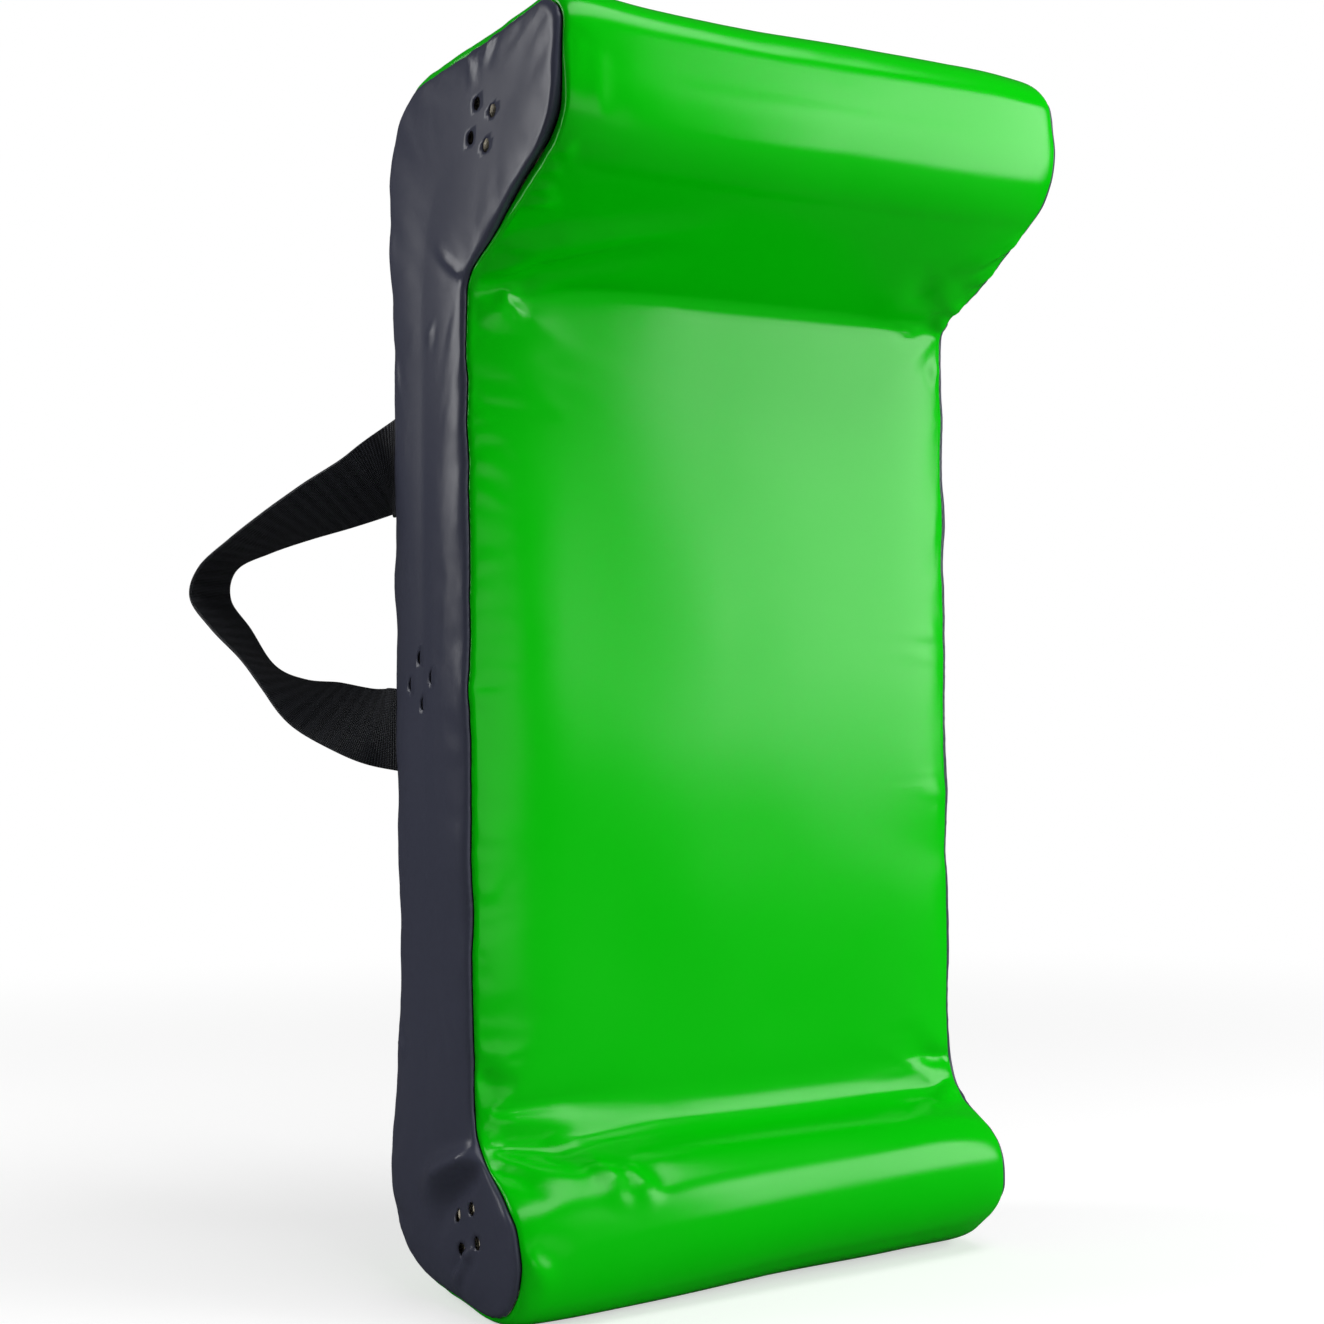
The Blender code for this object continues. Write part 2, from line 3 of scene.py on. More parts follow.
import bmesh
import bpy
import numpy as np
from mathutils import Matrix, Vector, noise


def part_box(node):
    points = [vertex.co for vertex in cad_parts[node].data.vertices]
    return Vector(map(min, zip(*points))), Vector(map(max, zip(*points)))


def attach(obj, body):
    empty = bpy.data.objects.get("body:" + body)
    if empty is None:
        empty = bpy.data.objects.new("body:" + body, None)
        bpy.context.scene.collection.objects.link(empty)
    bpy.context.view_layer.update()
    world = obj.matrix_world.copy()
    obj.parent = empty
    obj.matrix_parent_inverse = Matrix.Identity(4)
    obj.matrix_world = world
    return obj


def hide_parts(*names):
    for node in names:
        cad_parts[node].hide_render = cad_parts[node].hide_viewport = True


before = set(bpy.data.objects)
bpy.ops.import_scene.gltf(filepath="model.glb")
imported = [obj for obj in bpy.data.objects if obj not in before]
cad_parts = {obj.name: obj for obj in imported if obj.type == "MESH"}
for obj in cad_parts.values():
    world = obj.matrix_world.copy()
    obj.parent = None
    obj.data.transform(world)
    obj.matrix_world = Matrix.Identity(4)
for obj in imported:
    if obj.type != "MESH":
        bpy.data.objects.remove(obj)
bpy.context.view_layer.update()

scene = bpy.context.scene


# Camera, where the photographer stood: to the left of the wedge and level with its middle,
# looking at it along a long lens.
eye = Vector((-0.7896, -1.20994, 0.3586))
eye_turn, eye_tip, eye_roll = 0.5606, 0.0172, -0.0103
ahead = Vector((math.sin(eye_turn) * math.cos(eye_tip), math.cos(eye_turn) * math.cos(eye_tip),
                math.sin(eye_tip)))
level = Vector((math.cos(eye_turn), -math.sin(eye_turn), 0))
upright = level.cross(ahead)
eye_right = level * math.cos(eye_roll) + upright * math.sin(eye_roll)
eye_up = upright * math.cos(eye_roll) - level * math.sin(eye_roll)
lens = bpy.data.cameras.new("photo_camera")
lens.lens, lens.sensor_width = 61.61, 36.0
lens.clip_start, lens.clip_end = 0.05, 30
camera = bpy.data.objects.new("photo_camera", lens)
camera.matrix_world = Matrix((eye_right, eye_up, -ahead)).transposed().to_4x4()
camera.location = eye
scene.collection.objects.link(camera)
scene.camera = camera


# The pattern line: the side outline that the cover's panels are sewn along, and that the foam
# is cut to. Each corner is its depth behind the back seam, its height and its radius, from the
# back of the top round the nose, the hollow and the base nose to the heel, and up the back.
FOOT_SETBACK = 0.07286
HALF_WIDTH = 0.179
ARC_STEP = 0.05
outline_corners = ((0.006, 0.7325, 0.058), (-0.213, 0.750, 0.022), (-0.213, 0.676, 0.048),
                   (-0.097, 0.607, 0.020), (-0.097, 0.104, 0.046), (-0.150, 0.0603, 0.030),
                   (-0.150, 0.030, 0.032), (-0.118, 0.002, 0.050), (0.025, 0.002, 0.066),
                   (0.0, 0.196, 0.500), (0.0, 0.600, 0.500))
HEEL = 8


def round_corner(before, corner, after, radius):
    """The arc that rounds one corner of the pattern line, as (depth, height, normal)."""
    arrive, leave = (corner - before).normalized(), (after - corner).normalized()
    turn = math.atan2(arrive.x * leave.y - arrive.y * leave.x, arrive.dot(leave))
    reach = min((corner - before).length, (after - corner).length) / 2
    tangent = min(radius * math.tan(abs(turn) / 2), reach)
    radius, side = tangent / math.tan(abs(turn) / 2), math.copysign(1, turn)
    left = Vector((-arrive.y, arrive.x))
    centre = corner - arrive * tangent + left * radius * side
    arc = []
    for step in np.linspace(0, turn, max(3, round(abs(turn) / ARC_STEP))):
        normal = Matrix.Rotation(step, 2) @ -left
        arc.append((*(centre + normal * radius * side), *normal))
    return arc


places = [Vector(corner[:2]) for corner in outline_corners]
arcs = [round_corner(places[i - 1], places[i], places[(i + 1) % len(places)], outline_corners[i][2])
        for i in range(len(places))]


class PatternLine:
    """A stretch of the outline, read by the length along it."""

    def __init__(self, stations):
        self.table = np.array(stations)
        self.table[:, 0] += FOOT_SETBACK
        steps = np.hypot(*np.diff(self.table[:, :2], axis=0).T)
        self.length_at = np.concatenate([[0], np.cumsum(steps)])
        self.length = self.length_at[-1]

    def at(self, along):
        """(depth, height, normal depth, normal height) at these lengths."""
        read = np.stack([np.interp(along, self.length_at, column) for column in self.table.T], axis=-1)
        read[..., 2:] /= np.linalg.norm(read[..., 2:], axis=-1, keepdims=True)
        return read


def stations_between(start, end):
    """The stations from one (arc, share) to another, going forward round the outline."""
    first, last = arcs[start[0]], arcs[end[0]]
    middle = [station for arc in arcs[start[0] + 1:end[0]] for station in arc]
    return first[round(start[1] * (len(first) - 1)):] + middle + last[:round(end[1] * (len(last) - 1)) + 1]


whole_line = PatternLine([station for arc in arcs for station in arc] + arcs[0][:1])


# Front panel: one length of green PVC-coated polyester from the back of the top, over the top
# nose, down the hollow, over the base nose and under the foot. It is cut flat, sewn to the side
# panels inside out and turned, so its edges roll in to the seams and gather in small puckers.
FRONT_ROW, FRONT_COLUMNS = 0.0022, 100
EDGE_CLOSENESS = 0.30
TOP_CROWN, FRONT_CROWN, BASE_CROWN, EDGE_CROWN = 0.0100, 0.0045, 0.0010, 0.0004
TOP_ABOVE, TOP_EDGE_FLAT, TOP_EDGE_RISE = 0.7, 0.012, 0.085
BASE_LIP, BASE_LIP_AT, BASE_LIP_REACH = 0.0030, 0.984, 0.016
BASE_SAG, BASE_SAG_AT, BASE_SAG_REACH = 0.0046, 0.954, 0.022
EDGE_SHOULDER, SHOULDER_WIDTH = 0.0022, 0.0050
SEAM_TURN, TURN_WIDTH, TURN_LIP = 0.0022, 0.0013, 0.0010
TOP_SEAM_SET, SOLE_SEAM_SET, SEAM_SET_REACH = 0.0042, 0.0032, 0.0035
TOP_SET_ABOVE, SOLE_SET_BELOW = 0.65, 0.12
TOP_SET_TILT, SOLE_SET_TILT, SET_TILT_RANGE = 0.3, 0.1, 0.6
LONG_SWAY, LONG_SWAY_PITCH = 0.0010, 0.034
SHORT_SWAY, SHORT_SWAY_PITCH, SWAY_REACH = 0.0003, 0.013, 0.020
NOSE_BELLY, BELLY_HEIGHT, BELLY_REACH = 0.0110, 0.663, 0.026
NOSE_GAPE, GAPE_REACH, GAPE_HEIGHT, GAPE_SPREAD = 0.0082, 0.0042, 0.668, 0.034
GAPE_BACK_SHARE, GAPE_INWARD_SHARE = 0.83, 0.55
GAPE_FROM, GAPE_FADE = -0.02, 0.03
FRONT_RIPPLE, FRONT_RIPPLE_PITCH, RIPPLE_START = 0.0009, 0.110, 0.03
FRONT_FOLD_START, GAPE_FOLD_START = 0.0025, 0.006
LEFT_PUCKER, RIGHT_PUCKER, PUCKER_PITCH, PUCKER_REACH = 0.0008, 0.0004, 0.012, 0.011
FABRIC = 0.0009


def make_piece(name, shape):
    """Turns a shape into an object of the scene."""
    mesh = bpy.data.meshes.new(name)
    shape.to_mesh(mesh)
    shape.free()
    piece = bpy.data.objects.new(name, mesh)
    scene.collection.objects.link(piece)
    return piece


def cut_sheet(name, columns, rows):
    """A flat cut sheet as a grid from -1 to 1 each way."""
    sheet = bmesh.new()
    bmesh.ops.create_grid(sheet, x_segments=columns, y_segments=rows, size=1)
    return make_piece(name, sheet)


def close_at_edges(share):
    """Even places from -1 to 1, brought closer together towards both ends."""
    return share * (1 + (1 - EDGE_CLOSENESS) / 2) - share ** 3 * (1 - EDGE_CLOSENESS) / 2


def points_of(piece):
    flat = np.empty(len(piece.data.vertices) * 3)
    piece.data.vertices.foreach_get("co", flat)
    return flat.reshape(-1, 3)


def move_points(piece, points):
    piece.data.vertices.foreach_set("co", np.ascontiguousarray(points).ravel())
    piece.data.update()


def write_cloth_map(piece, across, along):
    """Keeps each point's place on the flat cloth, in metres, so that the weave follows the sheet."""
    layer = piece.data.uv_layers.new(name="cloth")
    loops = np.empty(len(piece.data.loops), dtype=np.int32)
    piece.data.loops.foreach_get("vertex_index", loops)
    layer.data.foreach_set("uv", np.stack([across[loops], along[loops]], axis=1).ravel())


def face_outwards(piece):
    """Turns the sheet's faces away from the foam inside."""
    shell = bmesh.new()
    shell.from_mesh(piece.data)
    heart = Vector((0, 0.03, 0.36))
    out = sum((face.calc_center_median() - heart).dot(face.normal) * face.calc_area()
              for face in shell.faces)
    if out < 0:
        bmesh.ops.reverse_faces(shell, faces=shell.faces)
    shell.to_mesh(piece.data)
    shell.free()
    piece.data.shade_smooth()


NOISE_LIFT = 1.6


def wander(places, pitch, seed=0.0):
    """Smooth noise of about -1 to 1 over a set of places, with hills about one pitch apart."""
    return np.array([noise.noise(Vector((*(place / pitch), seed))) for place in places]) * NOISE_LIFT


FADE_REACHES, PUCKER_LEAN, LEAN_PITCH, PUCKER_LENGTH_SHARE = 5, 0.3, 0.05, 0.18
GROUP_PITCHES, GROUP_LIFT, GROUP_LENGTH_SHARE = 7, 0.35, 0.2


def seam_puckers(gap, along, pitch, reach, seed):
    """Small folds square to a seam, in groups, highest a little way in from it."""
    height = np.zeros(len(gap))
    near = gap < reach * FADE_REACHES
    away, spot = gap[near], along[near]
    in_group = wander(np.stack([spot, away * GROUP_LENGTH_SHARE], axis=1), pitch * GROUP_PITCHES, seed)
    group = np.clip(in_group + GROUP_LIFT, 0, 1)
    lean = PUCKER_LEAN * away * wander(np.stack([spot, spot], axis=1), LEAN_PITCH, seed + 7)
    folds = wander(np.stack([spot + lean, away * PUCKER_LENGTH_SHARE], axis=1), pitch, seed + 3)
    rise = (away / reach) * np.exp(1 - away / reach)
    height[near] = group * folds * rise
    return height


# Beside a fold's ridge the cloth hollows. A fold starts at part of its height and dies out.
HOLLOW_SHARE, HOLLOW_AT, HOLLOW_WIDTH = 0.25, 1.9, 1.3
FOLD_HEAD_SHARE, FOLD_HEAD_GROWTH, FOLD_TAIL_FALL = 0.35, 5, 2.2


def fold_heights(across, along, folds):
    """Heights of single folds: each is a line on the cloth, its rise, and its width at either end."""
    height = np.zeros(len(across))
    for route, rise, start_width, end_width in folds:
        route = np.array(route)
        best, where, offset = np.full(len(across), 9.0), np.zeros(len(across)), np.zeros(len(across))
        runs = np.linalg.norm(np.diff(route, axis=0), axis=1)
        for index, run in enumerate(runs):
            head = (route[index + 1] - route[index]) / run
            du, dv = across - route[index, 0], along - route[index, 1]
            t = np.clip(du * head[0] + dv * head[1], 0, run)
            away = np.hypot(du - t * head[0], dv - t * head[1])
            side = np.sign(du * head[1] - dv * head[0])
            nearer = away < best
            best[nearer], offset[nearer] = away[nearer], (away * side)[nearer]
            where[nearer] = ((runs[:index].sum() + t) / runs.sum())[nearer]
        width = start_width + (end_width - start_width) * where
        widths = offset / width
        profile = np.exp(-widths ** 2) - HOLLOW_SHARE * np.exp(-((widths - HOLLOW_AT) / HOLLOW_WIDTH) ** 2)
        tail = np.clip((1 - where) * FOLD_TAIL_FALL, 0, 1)
        height += rise * profile * tail * np.clip(FOLD_HEAD_SHARE + where * FOLD_HEAD_GROWTH, 0, 1)
    return height


def seam_sway(depth, height, gap, side):
    """How far a side seam strays in or out, alike on the two panels that meet there."""
    places = np.stack([depth, height + 3 * side], axis=1)
    near = gap < SWAY_REACH * 3
    sway = np.zeros(len(depth))
    sway[near] = (LONG_SWAY * wander(places[near], LONG_SWAY_PITCH)
                  + SHORT_SWAY * wander(places[near], SHORT_SWAY_PITCH))
    return sway * np.exp(-gap / SWAY_REACH)


def turned_in(gap):
    """How far a panel's edge is turned across the seam, so that no cut edge shows."""
    return SEAM_TURN * np.clip(1 - gap / TURN_LIP, 0, 1)


def seam_set(normal_z, height):
    """How far a seam lies inside the filled outline, where the green panel bulges past it."""
    top = np.clip((normal_z - TOP_SET_TILT) / SET_TILT_RANGE, 0, 1) * (height > TOP_SET_ABOVE)
    sole = np.clip((-normal_z - SOLE_SET_TILT) / SET_TILT_RANGE, 0, 1) * (height < SOLE_SET_BELOW)
    return TOP_SEAM_SET * top + SOLE_SEAM_SET * sole


def nose_gape(depth, height, gap, side):
    """How far the left seam gapes beside the nose, where the filling drags the two panels apart."""
    beside = np.exp(-((height - GAPE_HEIGHT) / GAPE_SPREAD) ** 2)
    beside = beside * np.clip((GAPE_FROM - depth) / GAPE_FADE, 0, 1)
    slope = np.clip(1 - gap / GAPE_REACH, 0, 1)
    return np.where(side < 0, NOSE_GAPE, 0) * beside * slope ** 2 * (3 - 2 * slope)


# Where use has pushed the filled cover out of its cut shape: the middle of each push, how far it
# goes, and how far it reaches along each axis
pushes = (((0.120, -0.070, 0.076), (0, -0.0050, 0.0042), (0.200, 0.030, 0.030)),
          ((-0.160, -0.062, 0.016), (0, -0.0085, -0.0065), (0.130, 0.030, 0.030)),
          ((0.160, -0.055, 0.004), (0, 0.0005, 0.0008), (0.120, 0.050, 0.025)),
          ((-0.179, 0.085, 0.010), (0, -0.0022, 0.0028), (0.140, 0.045, 0.040)),
          ((-0.179, 0.045, 0.000), (0, -0.0010, 0.0050), (0.090, 0.050, 0.030)),
          ((0.170, -0.070, 0.640), (0, -0.0030, -0.0035), (0.080, 0.050, 0.050)),
          ((-0.180, 0.080, 0.150), (0.0015, -0.0025, 0), (0.050, 0.050, 0.100)),
          ((-0.145, -0.020, 0.755), (0, 0.0010, 0.0058), (0.060, 0.090, 0.040)),
          ((-0.175, -0.130, 0.755), (0, -0.0010, 0.0040), (0.050, 0.035, 0.030)),
          ((-0.175, 0.065, 0.735), (0, 0.0025, 0.0040), (0.060, 0.040, 0.035)),
          ((0.179, -0.140, 0.752), (-0.0040, 0.0010, -0.0020), (0.035, 0.035, 0.035)))


def pushed(points):
    """The points of any panel after the pushes, so that panels which meet stay together."""
    moved = points.copy()
    for middle, push, reach in pushes:
        share = np.exp(-(((points - middle) / reach) ** 2).sum(axis=1))
        moved += share[:, None] * push
    moved[:, 2] = np.maximum(moved[:, 2], 0)
    return moved


front_line = PatternLine(stations_between((0, 0), (HEEL, 1)))
green_front = cut_sheet("green_front", FRONT_COLUMNS, round(front_line.length / FRONT_ROW / 2) * 2)
flat = points_of(green_front)
front_share = close_at_edges(flat[:, 0])
front_along = (flat[:, 1] + 1) / 2 * front_line.length
front_across = front_share * HALF_WIDTH
line = front_line.at(front_along)
normal_y, normal_z = line[:, 2], line[:, 3]
behind_edge = np.clip((line[:, 0] - line[:, 0].min() - TOP_EDGE_FLAT) / TOP_EDGE_RISE, 0, 1)
top_crown = EDGE_CROWN + (TOP_CROWN - EDGE_CROWN) * behind_edge ** 2 * (3 - 2 * behind_edge)
upper_crown = np.where(line[:, 1] > TOP_ABOVE, top_crown, FRONT_CROWN)
crown = (np.where(normal_y < 0, FRONT_CROWN, 0) * normal_y ** 2
         + np.where(normal_z > 0, upper_crown, BASE_CROWN) * normal_z ** 2)
crown += NOSE_BELLY * np.exp(-((line[:, 1] - BELLY_HEIGHT) / BELLY_REACH) ** 2) * np.clip(-normal_y, 0, 1)
from_seam = HALF_WIDTH - np.abs(front_across)
side_of = np.sign(front_across)
gape = nose_gape(line[:, 0], line[:, 1], from_seam, side_of)
swell = (crown * (1 - np.abs(front_share) ** 4) + EDGE_SHOULDER * (1 - np.exp(-from_seam / SHOULDER_WIDTH))
         - SEAM_TURN * np.exp(-(from_seam / TURN_WIDTH) ** 2) - GAPE_BACK_SHARE * gape
         - seam_set(normal_z, line[:, 1]) * np.exp(-from_seam / SEAM_SET_REACH))
slump = (BASE_LIP * np.exp(-((front_along - BASE_LIP_AT) / BASE_LIP_REACH) ** 2)
         - BASE_SAG * np.exp(-((front_along - BASE_SAG_AT) / BASE_SAG_REACH) ** 2))
swell += slump * (1 - np.abs(front_share) ** 6)
# Folds that the photograph shows: route from the high end, as (across, along), rise, and widths
front_folds = (
    (((-0.153, 0.447), (-0.159, 0.459), (-0.175, 0.467)), 0.0017, 0.0055, 0.0075),
    (((-0.146, 0.457), (-0.152, 0.462)), 0.0010, 0.0045, 0.0060),
    (((-0.176, 0.439), (-0.150, 0.412), (-0.105, 0.386), (-0.040, 0.368)), 0.0050, 0.0080, 0.0160),
    (((-0.174, 0.414), (-0.147, 0.396), (-0.111, 0.374)), 0.0030, 0.0070, 0.0130),
    (((-0.150, 0.442), (-0.100, 0.422), (-0.045, 0.404)), 0.0026, 0.0080, 0.0180),
    (((0.170, 0.430), (0.135, 0.410), (0.120, 0.370)), -0.0030, 0.0070, 0.0130),
    (((-0.178, 0.332), (-0.163, 0.327)), 0.0020, 0.0036, 0.0060),
    (((-0.177, 0.348), (-0.164, 0.343)), 0.0020, 0.0036, 0.0055),
    (((-0.176, 0.362), (-0.160, 0.358)), 0.0022, 0.0038, 0.0060),
    (((-0.174, 0.375), (-0.153, 0.366)), 0.0022, 0.0040, 0.0070),
    (((-0.158, 0.275), (-0.158, 0.296), (-0.154, 0.316)), 0.0006, 0.0050, 0.0060),
    (((0.178, 0.350), (0.162, 0.365), (0.140, 0.385)), 0.0030, 0.0050, 0.0110),
    (((0.178, 0.380), (0.160, 0.398)), 0.0024, 0.0045, 0.0080),
    (((0.179, 0.445), (0.163, 0.425), (0.135, 0.408)), 0.0034, 0.0050, 0.0110),
    (((0.177, 0.425), (0.160, 0.412)), 0.0022, 0.0040, 0.0070),
    (((0.179, 0.470), (0.166, 0.478)), 0.0016, 0.0045, 0.0070),
    (((-0.172, 0.936), (-0.151, 0.940), (-0.110, 0.944), (-0.050, 0.947)), 0.0018, 0.0050, 0.0120),
    (((-0.173, 0.952), (-0.141, 0.960), (-0.122, 0.978), (-0.114, 0.994)), -0.0026, 0.0090, 0.0110),
    (((-0.118, 0.975), (-0.110, 0.992), (-0.112, 1.010)), 0.0030, 0.0060, 0.0085),
    (((-0.100, 0.984), (-0.094, 0.997), (-0.090, 1.012)), 0.0026, 0.0055, 0.0080),
    (((-0.178, 0.963), (-0.163, 0.982), (-0.155, 1.004)), -0.0024, 0.0070, 0.0110),
    (((-0.176, 1.024), (-0.158, 1.041)), 0.0022, 0.0050, 0.0080),
    (((-0.176, 0.908), (-0.162, 0.926)), -0.0020, 0.0070, 0.0090),
    (((0.179, 0.930), (0.165, 0.931), (0.140, 0.925)), -0.0030, 0.0050, 0.0090),
    (((0.179, 0.955), (0.170, 0.954), (0.150, 0.962)), 0.0024, 0.0050, 0.0090),
)
spread = wander(np.stack([front_across, front_along], axis=1), FRONT_RIPPLE_PITCH, 2.0)
ripple = (FRONT_RIPPLE * spread * (1 - np.exp(-from_seam / RIPPLE_START))
          + np.where(side_of < 0, LEFT_PUCKER, RIGHT_PUCKER)
          * seam_puckers(from_seam, front_along + side_of, PUCKER_PITCH, PUCKER_REACH, 11.0)
          + fold_heights(front_across, front_along, front_folds))
beside_gape = nose_gape(line[:, 0], line[:, 1], 0, side_of) / NOSE_GAPE
folds_start = FRONT_FOLD_START + GAPE_FOLD_START * beside_gape
swell += ripple * (1 - np.exp(-(from_seam / folds_start) ** 2))
sway = seam_sway(line[:, 0], line[:, 1], from_seam, side_of)
front_x = front_across + side_of * (sway - GAPE_INWARD_SHARE * gape - turned_in(from_seam))
move_points(green_front, pushed(np.stack([front_x, line[:, 0] + normal_y * swell,
                                          line[:, 1] + normal_z * swell], axis=1)))
write_cloth_map(green_front, front_across, front_along)


GATHER_REACH, SETTLE_FRAMES, FOAM_PRESSURE, SETTLE_CAP = 0.020, 20, 0.8, 0.0024
SLACK_HOLD, SEAM_HOLD, SEAM_HOLD_REACH = 0.06, 0.25, 0.003
MIDDLE_SHARE, SETTLE_REACH = 0.1, 0.045


def let_cloth_settle(piece, columns, gap, growth):
    """A cloth simulation on every second point: the sheet is held at its edges, grows by a share near
    its gathered seams and buckles, with the foam's push as a steady pressure. Nothing stops it at
    the foam, so each point keeps at most a small move.
    """
    fine = points_of(piece).reshape(-1, columns + 1, 3)
    start = np.ascontiguousarray(fine[::2, ::2]).reshape(-1, 3)
    gap = gap.reshape(-1, columns + 1)[::2, ::2].ravel()
    trial = cut_sheet("settling", columns // 2, len(fine) // 2)
    move_points(trial, start)
    face_outwards(trial)
    hold, grow = trial.vertex_groups.new(name="hold"), trial.vertex_groups.new(name="grow")
    for index, away in enumerate(gap):
        firm = 1.0 if away < 1e-4 else SLACK_HOLD + SEAM_HOLD * math.exp(-away / SEAM_HOLD_REACH)
        hold.add([index], firm, "REPLACE")
        grow.add([index], math.exp(-(away / GATHER_REACH) ** 2), "REPLACE")
    cloth = trial.modifiers.new("cloth", "CLOTH")
    stuff = cloth.settings
    stuff.quality, stuff.mass, stuff.air_damping = 6, 0.25, 3.0
    stuff.tension_stiffness = stuff.compression_stiffness = 30
    stuff.shear_stiffness, stuff.bending_stiffness = 12, 0.25
    stuff.tension_damping = stuff.compression_damping = stuff.shear_damping = 8
    stuff.bending_damping = 0.5
    stuff.vertex_group_mass, stuff.pin_stiffness = "hold", 1.0
    stuff.vertex_group_shrink, stuff.shrink_min, stuff.shrink_max = "grow", 0.0, -growth
    stuff.use_pressure, stuff.uniform_pressure_force = True, FOAM_PRESSURE
    stuff.effector_weights.gravity = 0
    cloth.collision_settings.use_collision = False
    cloth.point_cache.frame_start, cloth.point_cache.frame_end = 1, SETTLE_FRAMES
    for moment in range(1, SETTLE_FRAMES + 1):
        scene.frame_set(moment)
    worn = trial.evaluated_get(bpy.context.evaluated_depsgraph_get()).to_mesh()
    flat = np.empty(len(start) * 3)
    worn.vertices.foreach_get("co", flat)
    kept = MIDDLE_SHARE + (1 - MIDDLE_SHARE) * np.exp(-(gap / SETTLE_REACH) ** 2)
    moved = (flat.reshape(-1, 3) - start) * kept[:, None]
    far = np.linalg.norm(moved, axis=1, keepdims=True)
    moved *= np.minimum(1, SETTLE_CAP / np.maximum(far, 1e-9))
    moved = moved.reshape(len(fine) // 2 + 1, columns // 2 + 1, 3)
    bpy.data.objects.remove(trial)
    scene.frame_set(1)
    spread = np.zeros_like(fine)
    spread[::2, ::2] = moved
    spread[1::2, ::2] = (moved[1:] + moved[:-1]) / 2
    spread[:, 1::2] = (spread[:, :-1:2] + spread[:, 2::2]) / 2
    settled = (fine + spread).reshape(-1, 3)
    settled[:, 2] = np.maximum(settled[:, 2], 0)
    move_points(piece, settled)


from_edge = np.minimum(from_seam, np.minimum(front_along, front_line.length - front_along))
let_cloth_settle(green_front, FRONT_COLUMNS, from_edge, growth=0.045)
face_outwards(green_front)


class Wire:
    """One node's result, which can be added, taken away and multiplied like a number."""

    def __init__(self, board, socket):
        self.board, self.socket = board, socket

    def maths(self, operation, *inputs):
        return self.board.node("ShaderNodeMath", {"operation": operation}, inputs)

    def __add__(self, other): return self.maths("ADD", self, other)
    def __sub__(self, other): return self.maths("SUBTRACT", self, other)
    def __mul__(self, other): return self.maths("MULTIPLY", self, other)
    def __radd__(self, other): return self.maths("ADD", other, self)
    def __rsub__(self, other): return self.maths("SUBTRACT", other, self)
    def __rmul__(self, other): return self.maths("MULTIPLY", other, self)
    def wave(self): return self.maths("SINE", self)

    def ramp(self, low, high):
        """0 to 1 as the value goes from low to high."""
        return self.board.node("ShaderNodeMapRange", {"interpolation_type": "SMOOTHSTEP"}, [self, low, high])


class Board:
    """The nodes behind one shader, of a material or of the world."""

    def __init__(self, tree, shader):
        self.tree, self.shader = tree, tree.nodes[shader]

    def node(self, kind, settings, inputs, output=0):
        made = self.tree.nodes.new(kind)
        for key, value in settings.items():
            setattr(made, key, value)
        for index, value in (inputs.items() if isinstance(inputs, dict) else enumerate(inputs)):
            if isinstance(value, Wire):
                self.tree.links.new(value.socket, made.inputs[index])
            elif value is not None:
                made.inputs[index].default_value = value
        return Wire(self, made.outputs[output])

    def set(self, socket, value):
        if isinstance(value, Wire):
            self.tree.links.new(value.socket, self.shader.inputs[socket])
        else:
            self.shader.inputs[socket].default_value = value

    def rays(self):
        """Whether a ray comes from the camera, and whether it comes from a glossy surface."""
        return [self.node("ShaderNodeLightPath", {}, [], kind) for kind in ("Is Camera Ray", "Is Glossy Ray")]

    def parts(self, place):
        return [self.node("ShaderNodeSeparateXYZ", {}, [place], axis) for axis in "XYZ"]

    def cloth_place(self):
        """The place on the flat cloth, in metres, and its parts across and along."""
        place = self.node("ShaderNodeUVMap", {"uv_map": "cloth"}, [])
        return place, *self.parts(place)[:2]

    def own_place(self):
        """The place in the piece's own space, in metres."""
        return self.node("ShaderNodeTexCoord", {}, [], "Object")

    def noise(self, place, scale, detail=3.0):
        return self.node("ShaderNodeTexNoise", {}, {"Vector": place, "Scale": scale, "Detail": detail})

    def mix(self, share, low, high):
        return self.node("ShaderNodeMix", {"data_type": "RGBA"}, {0: share, 6: (*low, 1), 7: (*high, 1)}, 2)

    def bump(self, height, depth, below=None):
        return self.node("ShaderNodeBump", {}, {"Height": height, "Distance": depth, "Normal": below})


class Finish(Board):
    """A material, with its Principled shader."""

    def __init__(self, name, colour, roughness, **rest):
        self.material = bpy.data.materials.new(name)
        self.material.use_nodes = True
        super().__init__(self.material.node_tree, "Principled BSDF")
        self.set("Base Color", (*colour, 1))
        self.set("Roughness", roughness)
        for socket, value in rest.items():
            self.set(socket.replace("_", " "), value)


THREAD_PITCH, THREAD_RELIEF = 0.0011, 0.000008


def coated_fabric(name, colour, shade, roughness):
    """PVC skin over woven polyester, whose threads show faintly through the gloss."""
    fabric = Finish(name, colour, roughness, Specular_IOR_Level=0.25)
    place, across, along = fabric.cloth_place()
    turns = 2 * math.pi / THREAD_PITCH
    threads = (across * turns).wave() * (along * turns).wave()
    fabric.set("Base Color", fabric.mix(fabric.noise(place, 5.0, 4.0), shade, colour))
    fabric.set("Roughness", fabric.noise(place, 14.0) * 0.10 + (roughness - 0.05))
    fabric.set("Normal", fabric.bump(threads, THREAD_RELIEF))
    return fabric.material


def thicken(piece, thickness, offset):
    cloth = piece.modifiers.new("thickness", "SOLIDIFY")
    cloth.thickness, cloth.offset = thickness, offset


def dress(piece, material, node):
    """Gives a cover panel its thickness and finish, and puts it in its node's place."""
    piece.data.materials.append(material)
    thicken(piece, FABRIC, -1)
    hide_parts(node)
    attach(piece, "wedge")


